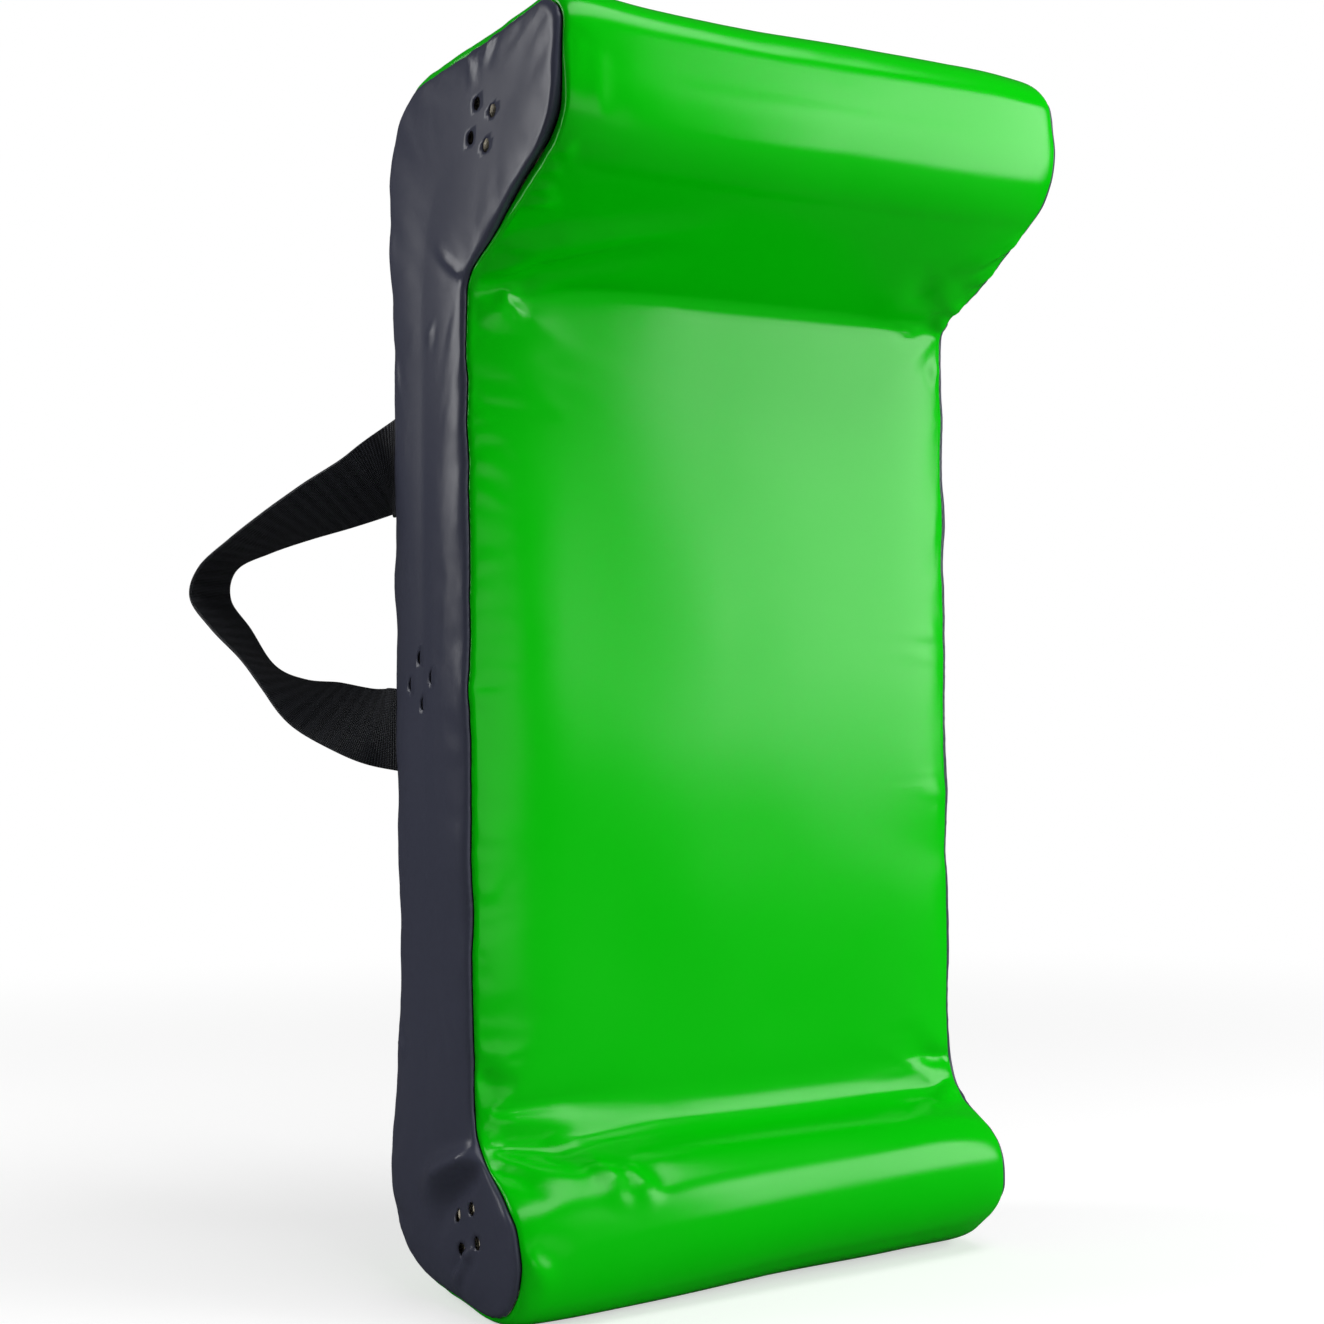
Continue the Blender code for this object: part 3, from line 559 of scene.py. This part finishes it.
green_pvc = coated_fabric("green_pvc", (0.0, 0.60, 0.001), (0.0, 0.55, 0.001), 0.18)
dress(green_front, green_pvc, "cover_front")


# Side panels: slate PVC-coated polyester cut to the wedge's outline, one on each side, with
# three groups of four punched vent holes that let air out of the foam when the wedge is hit.
SIDE_ROW, SIDE_COLUMNS = 0.0024, 64
SIDE_EASE, EDGE_STEP = 0.35, 0.002
SIDE_CROWN, SIDE_SHOULDER = 0.0035, 0.0032
SIDE_SET_REACH = 0.015
SIDE_RIPPLE, SIDE_RIPPLE_PITCH = 0.0010, 0.075
SIDE_PUCKER, SIDE_PUCKER_PITCH, SIDE_PUCKER_REACH = 0.0003, 0.019, 0.012
FOLD_START = 0.003
VENT_RADIUS, VENT_PITCH = 0.00425, 0.020
VENT_DENT, VENT_DENT_REACH = 0.0016, 0.024
VENT_CATCH_SHARE, VENT_FLAP_SHARE = 1.6, 0.25
vent_groups = ((-0.1276, 0.692, math.radians(24)), (-0.0466, 0.3724, math.radians(37)),
               (-0.0942, 0.0511, math.radians(-21)))
top_line = PatternLine(stations_between((0, 0.5), (1, 0.5)))
face_line = PatternLine(stations_between((1, 0.5), (7, 0.3)))
foot_line = PatternLine(stations_between((7, 0.3), (HEEL, 0.5)))
back_line = PatternLine(stations_between((HEEL, 0.5), (HEEL + 2, 1)) + arcs[0][:len(arcs[0]) // 2 + 1])
side_rows = round(face_line.length / SIDE_ROW / 2) * 2
# Folds as (depth, height) routes, their rise, and their widths at either end
side_folds = {
    -1: ((((-0.040, 0.748), (-0.0405, 0.736), (-0.0465, 0.713)), 0.0024, 0.0024, 0.0034),
         (((-0.072, 0.746), (-0.064, 0.733), (-0.056, 0.724)), 0.0022, 0.0024, 0.0032),
         (((-0.0253, 0.610), (-0.010, 0.620), (0.0067, 0.6326)), 0.0016, 0.0024, 0.0040),
         (((-0.032, 0.604), (-0.024, 0.611)), -0.0012, 0.0028, 0.0030),
         (((0.010, 0.584), (0.019, 0.575)), 0.0010, 0.0030, 0.0040),
         (((0.064, 0.572), (0.058, 0.546)), 0.0010, 0.0030, 0.0040),
         (((-0.034, 0.096), (-0.007, 0.086), (0.0106, 0.078), (0.037, 0.058)), 0.0100, 0.0055, 0.0120),
         (((-0.029, 0.090), (-0.002, 0.0700), (0.0136, 0.0423), (0.012, 0.026)), -0.0024, 0.0060, 0.0090),
         (((-0.0255, 0.041), (-0.0150, 0.028), (-0.0047, 0.010)), 0.0040, 0.0026, 0.0036),
         (((-0.020, 0.036), (-0.006, 0.020)), -0.0026, 0.0035, 0.0050),
         (((0.072, 0.152), (0.060, 0.140)), 0.0014, 0.0040, 0.0060)),
    1: ((((-0.030, 0.607), (-0.012, 0.616), (0.004, 0.630)), 0.0032, 0.0040, 0.0070),
        (((-0.034, 0.094), (-0.010, 0.080), (0.012, 0.070)), 0.0042, 0.0050, 0.0110),
        (((-0.028, 0.084), (0.000, 0.060), (0.010, 0.038)), -0.0024, 0.0055, 0.0090),
        (((-0.060, 0.746), (-0.054, 0.726)), 0.0022, 0.0030, 0.0050))}


def lay_side(name, side):
    """Fills the outline with the sheet's rows about level and its edges on the seams."""
    piece = cut_sheet(name, SIDE_COLUMNS, side_rows)
    flat = points_of(piece)
    u, v = (flat[:, 0] + 1) / 2, (1 - flat[:, 1]) / 2
    u, v = (share - SIDE_EASE * (share - 3 * share ** 2 + 2 * share ** 3) for share in (u, v))
    face = face_line.at(v * face_line.length)[:, :2]
    top_z, low_z = face_line.table[0, 1], face_line.table[-1, 1]
    back_low, back_top = back_line.table[0, 1], back_line.table[-1, 1]
    level_z = back_low + (face[:, 1] - low_z) / (top_z - low_z) * (back_top - back_low)
    back = back_line.at(np.interp(level_z, back_line.table[:, 1], back_line.length_at))[:, :2]
    top = top_line.at(u * top_line.length)[:, :2]
    foot = foot_line.at((1 - u) * foot_line.length)[:, :2]
    a, b = back_line.at(back_line.length)[:2], face_line.at(0.0)[:2]
    c, d = back_line.at(0.0)[:2], face_line.at(face_line.length)[:2]
    uu, vv = u[:, None], v[:, None]
    corners = (1 - uu) * (1 - vv) * a + uu * (1 - vv) * b + (1 - uu) * vv * c + uu * vv * d
    place = (1 - vv) * top + vv * foot + (1 - uu) * back + uu * face - corners
    steps = np.arange(0, whole_line.length, EDGE_STEP)
    edge = whole_line.at(steps)[:, :2]
    away = [((edge - point) ** 2).sum(axis=1) for point in place]
    gap = np.sqrt(np.array([row.min() for row in away]))
    rim = (np.abs(flat) > 0.9999).any(axis=1)
    gap[rim] = 0
    along = np.array([steps[row.argmin()] for row in away])
    nearest = whole_line.at(along)
    gape = nose_gape(nearest[:, 0], nearest[:, 1], gap, side)
    tuck = (seam_set(nearest[:, 3], nearest[:, 1]) * np.exp(-gap / SIDE_SET_REACH)
            + GAPE_BACK_SHARE * gape + turned_in(gap))
    place = place - nearest[:, 2:] * tuck[:, None]
    base_vents = np.array((vent_groups[-1][0] + FOOT_SETBACK, vent_groups[-1][1]))
    from_vents = np.hypot(*(place - base_vents).T)
    out = (HALF_WIDTH + SIDE_CROWN * (1 - np.exp(-gap / SIDE_SHOULDER))
           - SEAM_TURN * np.exp(-(gap / TURN_WIDTH) ** 2) + seam_sway(place[:, 0], place[:, 1], gap, side)
           - GAPE_INWARD_SHARE * gape - VENT_DENT * np.exp(-(from_vents / VENT_DENT_REACH) ** 2))
    folds = (SIDE_RIPPLE * wander(place, SIDE_RIPPLE_PITCH, 5.0 + side)
             + SIDE_PUCKER * seam_puckers(gap, along, SIDE_PUCKER_PITCH, SIDE_PUCKER_REACH, 4.0 + side)
             + fold_heights(place[:, 0], place[:, 1], side_folds[side]))
    out += folds * (1 - np.exp(-(gap / FOLD_START) ** 2))
    write_cloth_map(piece, place[:, 0], place[:, 1])
    move_points(piece, pushed(np.stack([side * out, place[:, 0], place[:, 1]], axis=1)))
    let_cloth_settle(piece, SIDE_COLUMNS, gap, growth=0.025)
    return piece


def vent_centres(depth, height, turn):
    """The middles of a group's four holes, at the corners of a square."""
    spokes = [turn + (quarter + 0.5) * math.pi / 2 for quarter in range(4)]
    return [Vector((depth + FOOT_SETBACK + math.cos(spoke) * VENT_PITCH / math.sqrt(2),
                    height + math.sin(spoke) * VENT_PITCH / math.sqrt(2))) for spoke in spokes]


def punch_vents(piece):
    """Cuts the vent holes, drawing the cloth's nearest points on to each rim. The foam has pushed the
    middle group's front lips across, so that those holes are left as crescents."""
    shell = bmesh.new()
    shell.from_mesh(piece.data)
    for group in vent_groups:
        for centre in vent_centres(*group):
            inside = [face for face in shell.faces
                      if (face.calc_center_median().yz - centre).length < VENT_RADIUS]
            bmesh.ops.delete(shell, geom=inside, context="FACES")
            rim = [vert for vert in shell.verts if vert.is_boundary
                   and (vert.co.yz - centre).length < VENT_RADIUS * VENT_CATCH_SHARE]
            for vert in rim:
                way = (vert.co.yz - centre).normalized()
                if group is vent_groups[1] and way.x < 0:
                    way.x *= -VENT_FLAP_SHARE
                vert.co.y, vert.co.z = centre + way * VENT_RADIUS
    shell.to_mesh(piece.data)
    shell.free()


slate_pvc = coated_fabric("slate_pvc", (0.058, 0.062, 0.094), (0.050, 0.054, 0.082), 0.30)
for name, side, node in (("slate_left", -1, "cover_side_left"), ("slate_right", 1, "cover_side_right")):
    slate_side = lay_side(name, side)
    face_outwards(slate_side)
    punch_vents(slate_side)
    dress(slate_side, slate_pvc, node)


# Back panel: slate PVC-coated polyester from the top of the back to the heel, with a long slot
# for the zip whose raw edges are folded under and topstitched.
BACK_ROWS, BACK_COLUMNS = 240, 80
BACK_CROWN = 0.0065
BACK_RIPPLE, BACK_RIPPLE_PITCH, BACK_PUCKER = 0.0007, 0.090, 0.0011
SLOT_CALM = 0.015
SLOT_HALF, SLOT_LOW, SLOT_HIGH = 0.009, 0.1748, 0.6644
SLOT_STEP, LIP_ROOM, LIP_ROOM_SHARE = 0.0005, 0.002, 1.01
HEM_DROP = 0.0030
panel_line = PatternLine(stations_between((HEEL, 1), (HEEL + 2, 1)) + arcs[0][:1])
slate_back = cut_sheet("slate_back", BACK_COLUMNS, BACK_ROWS)
flat = points_of(slate_back)
back_share = close_at_edges(flat[:, 0])
back_across = back_share * HALF_WIDTH
back_along = (flat[:, 1] + 1) / 2 * panel_line.length


def draw_to(values, targets):
    """Moves the nearest row or column of the grid on to each target."""
    marks = np.unique(values.round(7))
    for target in targets:
        nearest = marks[np.abs(marks - target).argmin()]
        values = np.where(np.abs(values - nearest) < 1e-6, target, values)
    return values


steps = np.arange(0, panel_line.length, SLOT_STEP)
slot_ends = [np.interp(z, panel_line.at(steps)[:, 1], steps) for z in (SLOT_LOW, SLOT_HIGH)]
back_across = draw_to(back_across, (-SLOT_HALF, SLOT_HALF))
back_along = draw_to(back_along, slot_ends)
back_gap, back_side = HALF_WIDTH - np.abs(back_across), np.sign(back_across)
line = panel_line.at(back_along)
slack = np.maximum(0.0, BACK_CROWN - (line[:, 0] - FOOT_SETBACK)) * line[:, 2] ** 2
from_slot = np.hypot(np.maximum(np.abs(back_across) - SLOT_HALF, 0),
                     np.maximum(np.maximum(slot_ends[0] - back_along, back_along - slot_ends[1]), 0))
ripple = (BACK_RIPPLE * wander(np.stack([back_across, back_along], axis=1), BACK_RIPPLE_PITCH, 8.0)
          + BACK_PUCKER * seam_puckers(back_gap, back_along + back_side, PUCKER_PITCH, PUCKER_REACH, 15.0))
calm = (1 - np.exp(-(back_gap / FOLD_START) ** 2)) * (1 - np.exp(-(from_slot / SLOT_CALM) ** 2))
swell = (slack * (1 - np.abs(back_share) ** 4) - SEAM_TURN * np.exp(-(back_gap / TURN_WIDTH) ** 2)
         + ripple * calm)
sway = seam_sway(line[:, 0], line[:, 1], back_gap, back_side) - turned_in(back_gap)
write_cloth_map(slate_back, back_across, back_along)
move_points(slate_back, pushed(np.stack([back_across + back_side * sway, line[:, 0] + line[:, 2] * swell,
                                         line[:, 1] + line[:, 3] * swell], axis=1)))
face_outwards(slate_back)
shell = bmesh.new()
shell.from_mesh(slate_back.data)
mid_z = (SLOT_LOW + SLOT_HIGH) / 2
opening = [face for face in shell.faces if abs(face.calc_center_median().x) < SLOT_HALF
           and abs(face.calc_center_median().z - mid_z) < (SLOT_HIGH - SLOT_LOW) / 2]
bmesh.ops.delete(shell, geom=opening, context="FACES")
lip = [edge for edge in shell.edges if edge.is_boundary
       and max(abs(vert.co.x) for vert in edge.verts) < SLOT_HALF * LIP_ROOM_SHARE
       and SLOT_LOW - LIP_ROOM < edge.verts[0].co.z < SLOT_HIGH + LIP_ROOM]
# The raw edge turns down and back under the panel in two steps, each a share of the drop and a tuck
for drop_share, tuck in ((0.35, 0.0005), (0.65, 0.0006)):
    turned = bmesh.ops.extrude_edge_only(shell, edges=lip)["geom"]
    for vert in (item for item in turned if isinstance(item, bmesh.types.BMVert)):
        vert.co.y -= HEM_DROP * drop_share
        vert.co.x += math.copysign(tuck, vert.co.x)
    lip = [item for item in turned if isinstance(item, bmesh.types.BMEdge)]
shell.to_mesh(slate_back.data)
shell.free()
slate_back.data.shade_smooth()
dress(slate_back, slate_pvc, "cover_back")

# Topstitching: dark polyester thread in short stitches along both sides and both ends of the slot,
# holding the folded edges down to the zip's tapes.
STITCH_LENGTH, STITCH_PITCH, STITCH_INSET, THREAD = 0.0027, 0.0036, 0.0032, 0.00040
panel_points = points_of(slate_back)
outer = SLOT_HALF + STITCH_INSET
low, high = SLOT_LOW - STITCH_INSET, SLOT_HIGH + STITCH_INSET
threads = bmesh.new()
for start, end in (((-outer, low), (-outer, high)), ((outer, low), (outer, high)),
                   ((-outer, low), (outer, low)), ((-outer, high), (outer, high))):
    start, end = Vector(start), Vector(end)
    run = (end - start).normalized()
    for index in range(int((end - start).length / STITCH_PITCH)):
        spot = start + run * (index + 0.5) * STITCH_PITCH
        nearest = np.hypot(panel_points[:, 0] - spot.x, panel_points[:, 2] - spot.y).argsort()[:4]
        surface = panel_points[nearest, 1].max()
        stitch = bmesh.ops.create_uvsphere(threads, u_segments=8, v_segments=6, radius=1)["verts"]
        for vert in stitch:
            length_way = vert.co.z * STITCH_LENGTH / 2
            width_way = vert.co.x * THREAD
            vert.co = Vector((spot.x + run.x * length_way + run.y * width_way, surface + vert.co.y * THREAD,
                              spot.y + run.y * length_way + run.x * width_way))


def new_piece(name, shape, finish, slot, *nodes, body="wedge"):
    """Makes a piece of the wedge from a shape, with its faces turned outwards."""
    bmesh.ops.recalc_face_normals(shape, faces=shape.faces)
    piece = make_piece(name, shape)
    piece.data.materials.append(finish.material)
    piece.data.shade_smooth()
    if nodes:
        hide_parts(*nodes)
    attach(piece, body)
    return piece


thread = Finish("slate_thread", (0.030, 0.031, 0.042), 0.6)
new_piece("zip_slot_stitching", threads, thread, "slate_cover")


# Zip tapes: two woven polyester tapes, corded along the edges that carry the teeth, sewn behind
# the slot.
TAPE_WEAVE, TAPE_WEFT_SHARE, TAPE_THICKNESS = 0.0007, 0.7, 0.0005
TAPE_COLUMNS, TAPE_ROWS = 12, 160
TAPE_BEAD, BEAD_AT_SHARE, BEAD_WIDTH_SHARE = 0.0004, 0.44, 0.05
tape_cloth = Finish("zip_tape", (0.012, 0.012, 0.014), 0.8)
side_way, _, up_way = tape_cloth.parts(tape_cloth.own_place())
turns = 2 * math.pi / TAPE_WEAVE
weave = (side_way * turns).wave() * (up_way * turns * TAPE_WEFT_SHARE).wave()
# The weave's raised threads are painted lighter and its hollows darker: a painted highlight and painted shade
# over the tape's bump.
tape_cloth.set("Base Color", tape_cloth.mix(weave.ramp(-1.0, 1.0), (0.009, 0.009, 0.011),
                                            (0.022, 0.022, 0.026)))
tape_cloth.set("Normal", tape_cloth.bump(weave, 0.0001))
for node in ("zip_tape_left", "zip_tape_right"):
    low_corner, high_corner = (Vector(corner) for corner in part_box(node))
    tape = bmesh.new()
    bmesh.ops.create_grid(tape, x_segments=TAPE_COLUMNS, y_segments=TAPE_ROWS, size=0.5)
    middle = (low_corner + high_corner) / 2
    inward = -math.copysign(1, middle.x)
    for vert in tape.verts:
        across, along = vert.co.x, vert.co.y
        bead = TAPE_BEAD * math.exp(-((across * inward - BEAD_AT_SHARE) / BEAD_WIDTH_SHARE) ** 2)
        vert.co = Vector((middle.x + across * (high_corner.x - low_corner.x), middle.y + bead,
                          middle.z + along * (high_corner.z - low_corner.z)))
    tape = new_piece(node + "_woven", tape, tape_cloth, "zip_tape", node)
    thicken(tape, TAPE_THICKNESS, 0.0)


# Zip chain, stops, slider and pull: moulded black plastic teeth, and a cast slider and pull tab
# plated in dull nickel. The CAD's own shapes carry them.
def dress_nodes(finish, *nodes):
    """Gives the CAD's own shapes their finish."""
    for node in nodes:
        item = bpy.data.objects[node]
        item.data.materials.clear()
        item.data.materials.append(finish.material)


chain = Finish("zip_chain_plastic", (0.016, 0.016, 0.019), 0.42)
place = chain.own_place()
chain.set("Roughness", chain.noise(place, 900.0) * 0.2 + 0.32)
chain.set("Normal", chain.bump(chain.noise(place, 1500.0), 0.00006))
dress_nodes(chain, "zip_teeth_left", "zip_teeth_right", "zip_stop_base", "zip_stop_top")
nickel = Finish("dull_nickel", (0.30, 0.30, 0.31), 0.35, Metallic=1.0)
place = nickel.own_place()
wear = nickel.noise(place, 260.0, 5.0)
nickel.set("Base Color", nickel.mix(wear.ramp(0.35, 0.7), (0.20, 0.20, 0.21), (0.42, 0.42, 0.43)))
nickel.set("Roughness", wear * 0.25 + 0.25)
nickel.set("Normal", nickel.bump(nickel.noise(place, 1200.0), 0.00004))
dress_nodes(nickel, "zip_slider", "zip_pull")


# Handles: loops of 50 mm black polypropylene webbing, one in each back side seam. Each is sewn
# flat at both ends and turned edge-on at its tip.
STRAP_WIDTH, STRAP_THICKNESS, STRAP_EDGE_ROUND = 0.050, 0.0023, 0.0009
STRAP_COLUMNS, ROWS_PER_KNOT = 16, 12
STRAP_LEAN, STRAP_REACH = math.radians(51), 0.130
STRAP_TOP, STRAP_BASE = 0.5065, 0.342
HINGE_ACROSS, HINGE_DEPTH = 0.180167, 0.074023
ROOT_REACH, ROOT_TUCK, TUCK_REACH = 0.016, 0.0032, 0.006
LATTICE_PITCH, WEFT_PITCH = 0.0021, 0.0012
# Share of the reach, share of the drop, and quarter turns, from the top end
strap_knots = np.array(((0.0, 0.0, 0.0), (0.115, 0.062, 0.42), (0.37, 0.143, 0.64), (0.565, 0.206, 0.79),
                        (0.775, 0.282, 0.93), (0.955, 0.365, 1.03), (0.998, 0.482, 1.0), (0.887, 0.6, 1.0),
                        (0.737, 0.735, 1.07), (0.59, 0.823, 0.91), (0.418, 0.9, 0.59), (0.19, 0.966, 0.36),
                        (0.0, 1.0, 0.0)))
webbing = Finish("black_webbing", (0.008, 0.009, 0.012), 0.62)
place, across, along = webbing.cloth_place()
turns = 2 * math.pi / LATTICE_PITCH
lattice = ((across + along) * turns).wave() * ((across - along) * turns).wave()
weft = (along * (2 * math.pi / WEFT_PITCH)).wave()
# The lattice's raised points are painted lighter and its low points darker: a painted highlight and painted
# shade on the black weave, laid over its bump.
webbing.set("Base Color", webbing.mix(lattice.ramp(-0.2, 0.8), (0.005, 0.006, 0.008),
                                      (0.060, 0.066, 0.084)))
webbing.set("Normal", webbing.bump(lattice, 0.00035, webbing.bump(weft, 0.00010)))
webbing.set("Roughness", webbing.noise(place, 40.0) * 0.15 + 0.5)


def smooth_line(knots, parts):
    """Points along a smooth line through the knots."""
    ends = np.concatenate([[2 * knots[0] - knots[1]], knots, [2 * knots[-1] - knots[-2]]])
    points = []
    for before, start, end, after in zip(ends, ends[1:], ends[2:], ends[3:]):
        for t in np.arange(parts) / parts:
            leave, arrive = (end - before) / 2, (after - start) / 2
            points.append((2 * t ** 3 - 3 * t ** 2 + 1) * start + (t ** 3 - 2 * t ** 2 + t) * leave
                          + (3 * t ** 2 - 2 * t ** 3) * end + (t ** 3 - t ** 2) * arrive)
    return np.array(points + [knots[-1]])


def round_edges(piece, width, sharpest):
    """Rounds the edges that turn by more than this angle."""
    rounded = piece.modifiers.new("rounded_edges", "BEVEL")
    rounded.width, rounded.segments, rounded.limit_method = width, 3, "ANGLE"
    rounded.angle_limit = math.radians(sharpest)


for side, node, body in ((-1, "handle_left", "left_loop"), (1, "handle_right", "right_loop")):
    hinge = Vector((side * HINGE_ACROSS, HINGE_DEPTH, 0))
    outward = Vector((side * math.cos(STRAP_LEAN), math.sin(STRAP_LEAN), 0))
    over = Vector((-side * math.sin(STRAP_LEAN), math.cos(STRAP_LEAN), 0))
    up = Vector((0, 0, 1))
    line = smooth_line(strap_knots, ROWS_PER_KNOT)
    reach, height = line[:, 0] * STRAP_REACH, STRAP_TOP + line[:, 1] * (STRAP_BASE - STRAP_TOP)
    tucked = reach - ROOT_TUCK * np.exp(-(reach / TUCK_REACH) ** 2)
    turn = line[:, 2] * math.pi / 2
    run = np.stack([np.gradient(reach), np.gradient(height)], axis=1)
    run /= np.linalg.norm(run, axis=1, keepdims=True)
    length_at = np.concatenate([[0], np.cumsum(np.hypot(np.diff(reach), np.diff(height)))])
    strap = bmesh.new()
    bmesh.ops.create_grid(strap, x_segments=STRAP_COLUMNS, y_segments=len(line) - 1, size=1)
    on_cloth = []
    for vert in strap.verts:
        share, row = vert.co.x, round((vert.co.y + 1) / 2 * (len(line) - 1))
        flat_way = outward * -run[row, 1] + up * run[row, 0]
        wide = flat_way * math.cos(turn[row]) - over * math.sin(turn[row])
        end = 1 if row < len(line) / 2 else -1
        root_wide = up * end / abs(run[0 if end == 1 else -1, 0])
        near = min(1.0, reach[row] / ROOT_REACH)
        wide = root_wide.lerp(wide, near * near * (3 - 2 * near))
        on_cloth.append((share * STRAP_WIDTH / 2, length_at[row]))
        vert.co = hinge + outward * tucked[row] + up * height[row] + wide * share * STRAP_WIDTH / 2
    strap = new_piece(node + "_webbing", strap, webbing, "webbing", node, body=body)
    write_cloth_map(strap, *np.array(on_cloth).T)
    thicken(strap, STRAP_THICKNESS, 0.0)
    round_edges(strap, STRAP_EDGE_ROUND, 60)


# Foam: a slab as high as the wedge, with a top bolster and a base bolster glued to its front, all
# of cream open-cell foam with its cut edges slightly rounded.
FOAM_INSET, FOAM_ROUND = 0.004, 0.006
FOAM_SIDE_INSET, FOAM_STEP = 0.0018, 0.006
FOAM_SWELL, SWELL_SHARE = 0.0026, 1.15
BETWEEN_BOLSTERS = 0.35
foam_finish = Finish("cream_foam", (0.62, 0.56, 0.42), 0.95)
cells = foam_finish.node("ShaderNodeTexVoronoi", {}, {"Vector": foam_finish.own_place(), "Scale": 900.0})
# The foam's colour is painted darker in the cells' pits, where its bump sinks: painted shade in the pores of
# the cream foam.
foam_finish.set("Base Color", foam_finish.mix(cells.ramp(0.1, 0.7), (0.42, 0.37, 0.26), (0.70, 0.64, 0.50)))
foam_finish.set("Normal", foam_finish.bump(cells, 0.0006))
glue_line, split = (0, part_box("foam_slab")[0][1], 0), (0, 0, BETWEEN_BOLSTERS)
# Each block's cuts: a place on the cut, and the way to the part that is cut off
foam_cuts = {"foam_slab": ((glue_line, (0, -1, 0)),),
             "foam_top_bolster": ((glue_line, (0, 1, 0)), (split, (0, 0, -1))),
             "foam_base_bolster": ((glue_line, (0, 1, 0)), (split, (0, 0, 1)))}
for node, cuts in foam_cuts.items():
    block = bmesh.new()
    table = whole_line.at(np.arange(0, whole_line.length, FOAM_STEP))
    half = HALF_WIDTH - FOAM_SIDE_INSET
    ring = [block.verts.new((-half, y - ny * FOAM_INSET, max(z - nz * FOAM_INSET, FOAM_INSET)))
            for y, z, ny, nz in table]
    block.faces.new(ring)
    block.normal_update()
    grown = bmesh.ops.extrude_face_region(block, geom=list(block.faces))["geom"]
    bmesh.ops.translate(block, vec=(2 * half, 0, 0),
                        verts=[item for item in grown if isinstance(item, bmesh.types.BMVert)])
    for on_cut, cut_off in cuts:
        block.normal_update()
        cut = bmesh.ops.bisect_plane(block, geom=list(block.verts) + list(block.edges) + list(block.faces),
                                     plane_co=on_cut, plane_no=cut_off, clear_outer=True)["geom_cut"]
        rim = [edge for edge in cut if isinstance(edge, bmesh.types.BMEdge)]
        bmesh.ops.holes_fill(block, edges=rim)
    corners = np.array([vert.co for vert in block.verts])
    corners[:, 1] += nose_gape(corners[:, 1], corners[:, 2], 0, corners[:, 0])
    for vert, spot in zip(block.verts, pushed(corners)):
        vert.co = spot
    # The foam swells into the left base vents
    for centre in vent_centres(*vent_groups[-1]) if node == "foam_base_bolster" else ():
        size = Matrix.Diagonal((FOAM_SWELL, VENT_RADIUS, VENT_RADIUS, 1))
        bmesh.ops.create_uvsphere(block, u_segments=16, v_segments=8, radius=SWELL_SHARE,
                                  matrix=Matrix.Translation((-half, *centre)) @ size)
    piece = new_piece(node + "_block", block, foam_finish, "foam", node)
    piece.data.shade_flat()
    round_edges(piece, FOAM_ROUND, 50)


# Studio: a pale floor that fades into a white backdrop, with soft lights to the right, overhead, in
# front and behind on the left. Gloss sees the floor and the backdrop dark, as in the photograph.
FLOOR_HALF, FLOOR_DROP = 8, 0.0005
floor_sheet = bmesh.new()
bmesh.ops.create_grid(floor_sheet, x_segments=1, y_segments=1, size=FLOOR_HALF)
bmesh.ops.translate(floor_sheet, vec=(0, 0, -FLOOR_DROP), verts=floor_sheet.verts)
floor = make_piece("floor", floor_sheet)
pale = Finish("pale_floor", (0.7, 0.7, 0.7), 1.0, Specular_IOR_Level=0.0, Emission_Strength=1.0)
camera_ray, glossy_ray = pale.rays()
spot = pale.node("ShaderNodeNewGeometry", {}, [], "Position")
far = pale.node("ShaderNodeVectorMath", {"operation": "LENGTH"}, [spot], "Value").ramp(0.5, 1.9)
pale.set("Base Color", 0.60 * (1 - far * camera_ray) * (1 - 0.88 * glossy_ray))
pale.set("Emission Color", camera_ray * (0.56 + 0.44 * far))
floor.data.materials.append(pale.material)

world = bpy.data.worlds.new("studio")
world.use_nodes = True
scene.world = world
sky = Board(world.node_tree, "Background")
camera_ray, glossy_ray = sky.rays()
sky.set("Color", (1, 1, 1, 1))
sky.set("Strength", 0.16 + 0.84 * camera_ray - 0.12 * glossy_ray)


def soft_light(name, place, target, size, power):
    lamp = bpy.data.lights.new(name, "AREA")
    lamp.shape, lamp.size, lamp.size_y, lamp.energy = "RECTANGLE", size[0], size[1], power
    light = bpy.data.objects.new(name, lamp)
    light.location = place
    light.rotation_euler = (Vector(target) - Vector(place)).to_track_quat("-Z", "Y").to_euler()
    scene.collection.objects.link(light)


soft_light("right_softbox", (1.50, -1.40, 0.91), (0, 0, 0.62), (1.2, 1.30), 30)
soft_light("front_fill", (-0.10, -1.35, 0.30), (0, 0, 0.6), (0.7, 0.5), 1.2)
soft_light("top_softbox", (0.3, -0.9, 2.1), (0, 0, 0.6), (1.4, 0.8), 16)
soft_light("left_reflector", (-1.4, 0.9, 1.05), (0, 0, 0.5), (0.8, 1.0), 14)

scene.view_settings.view_transform = "Standard"
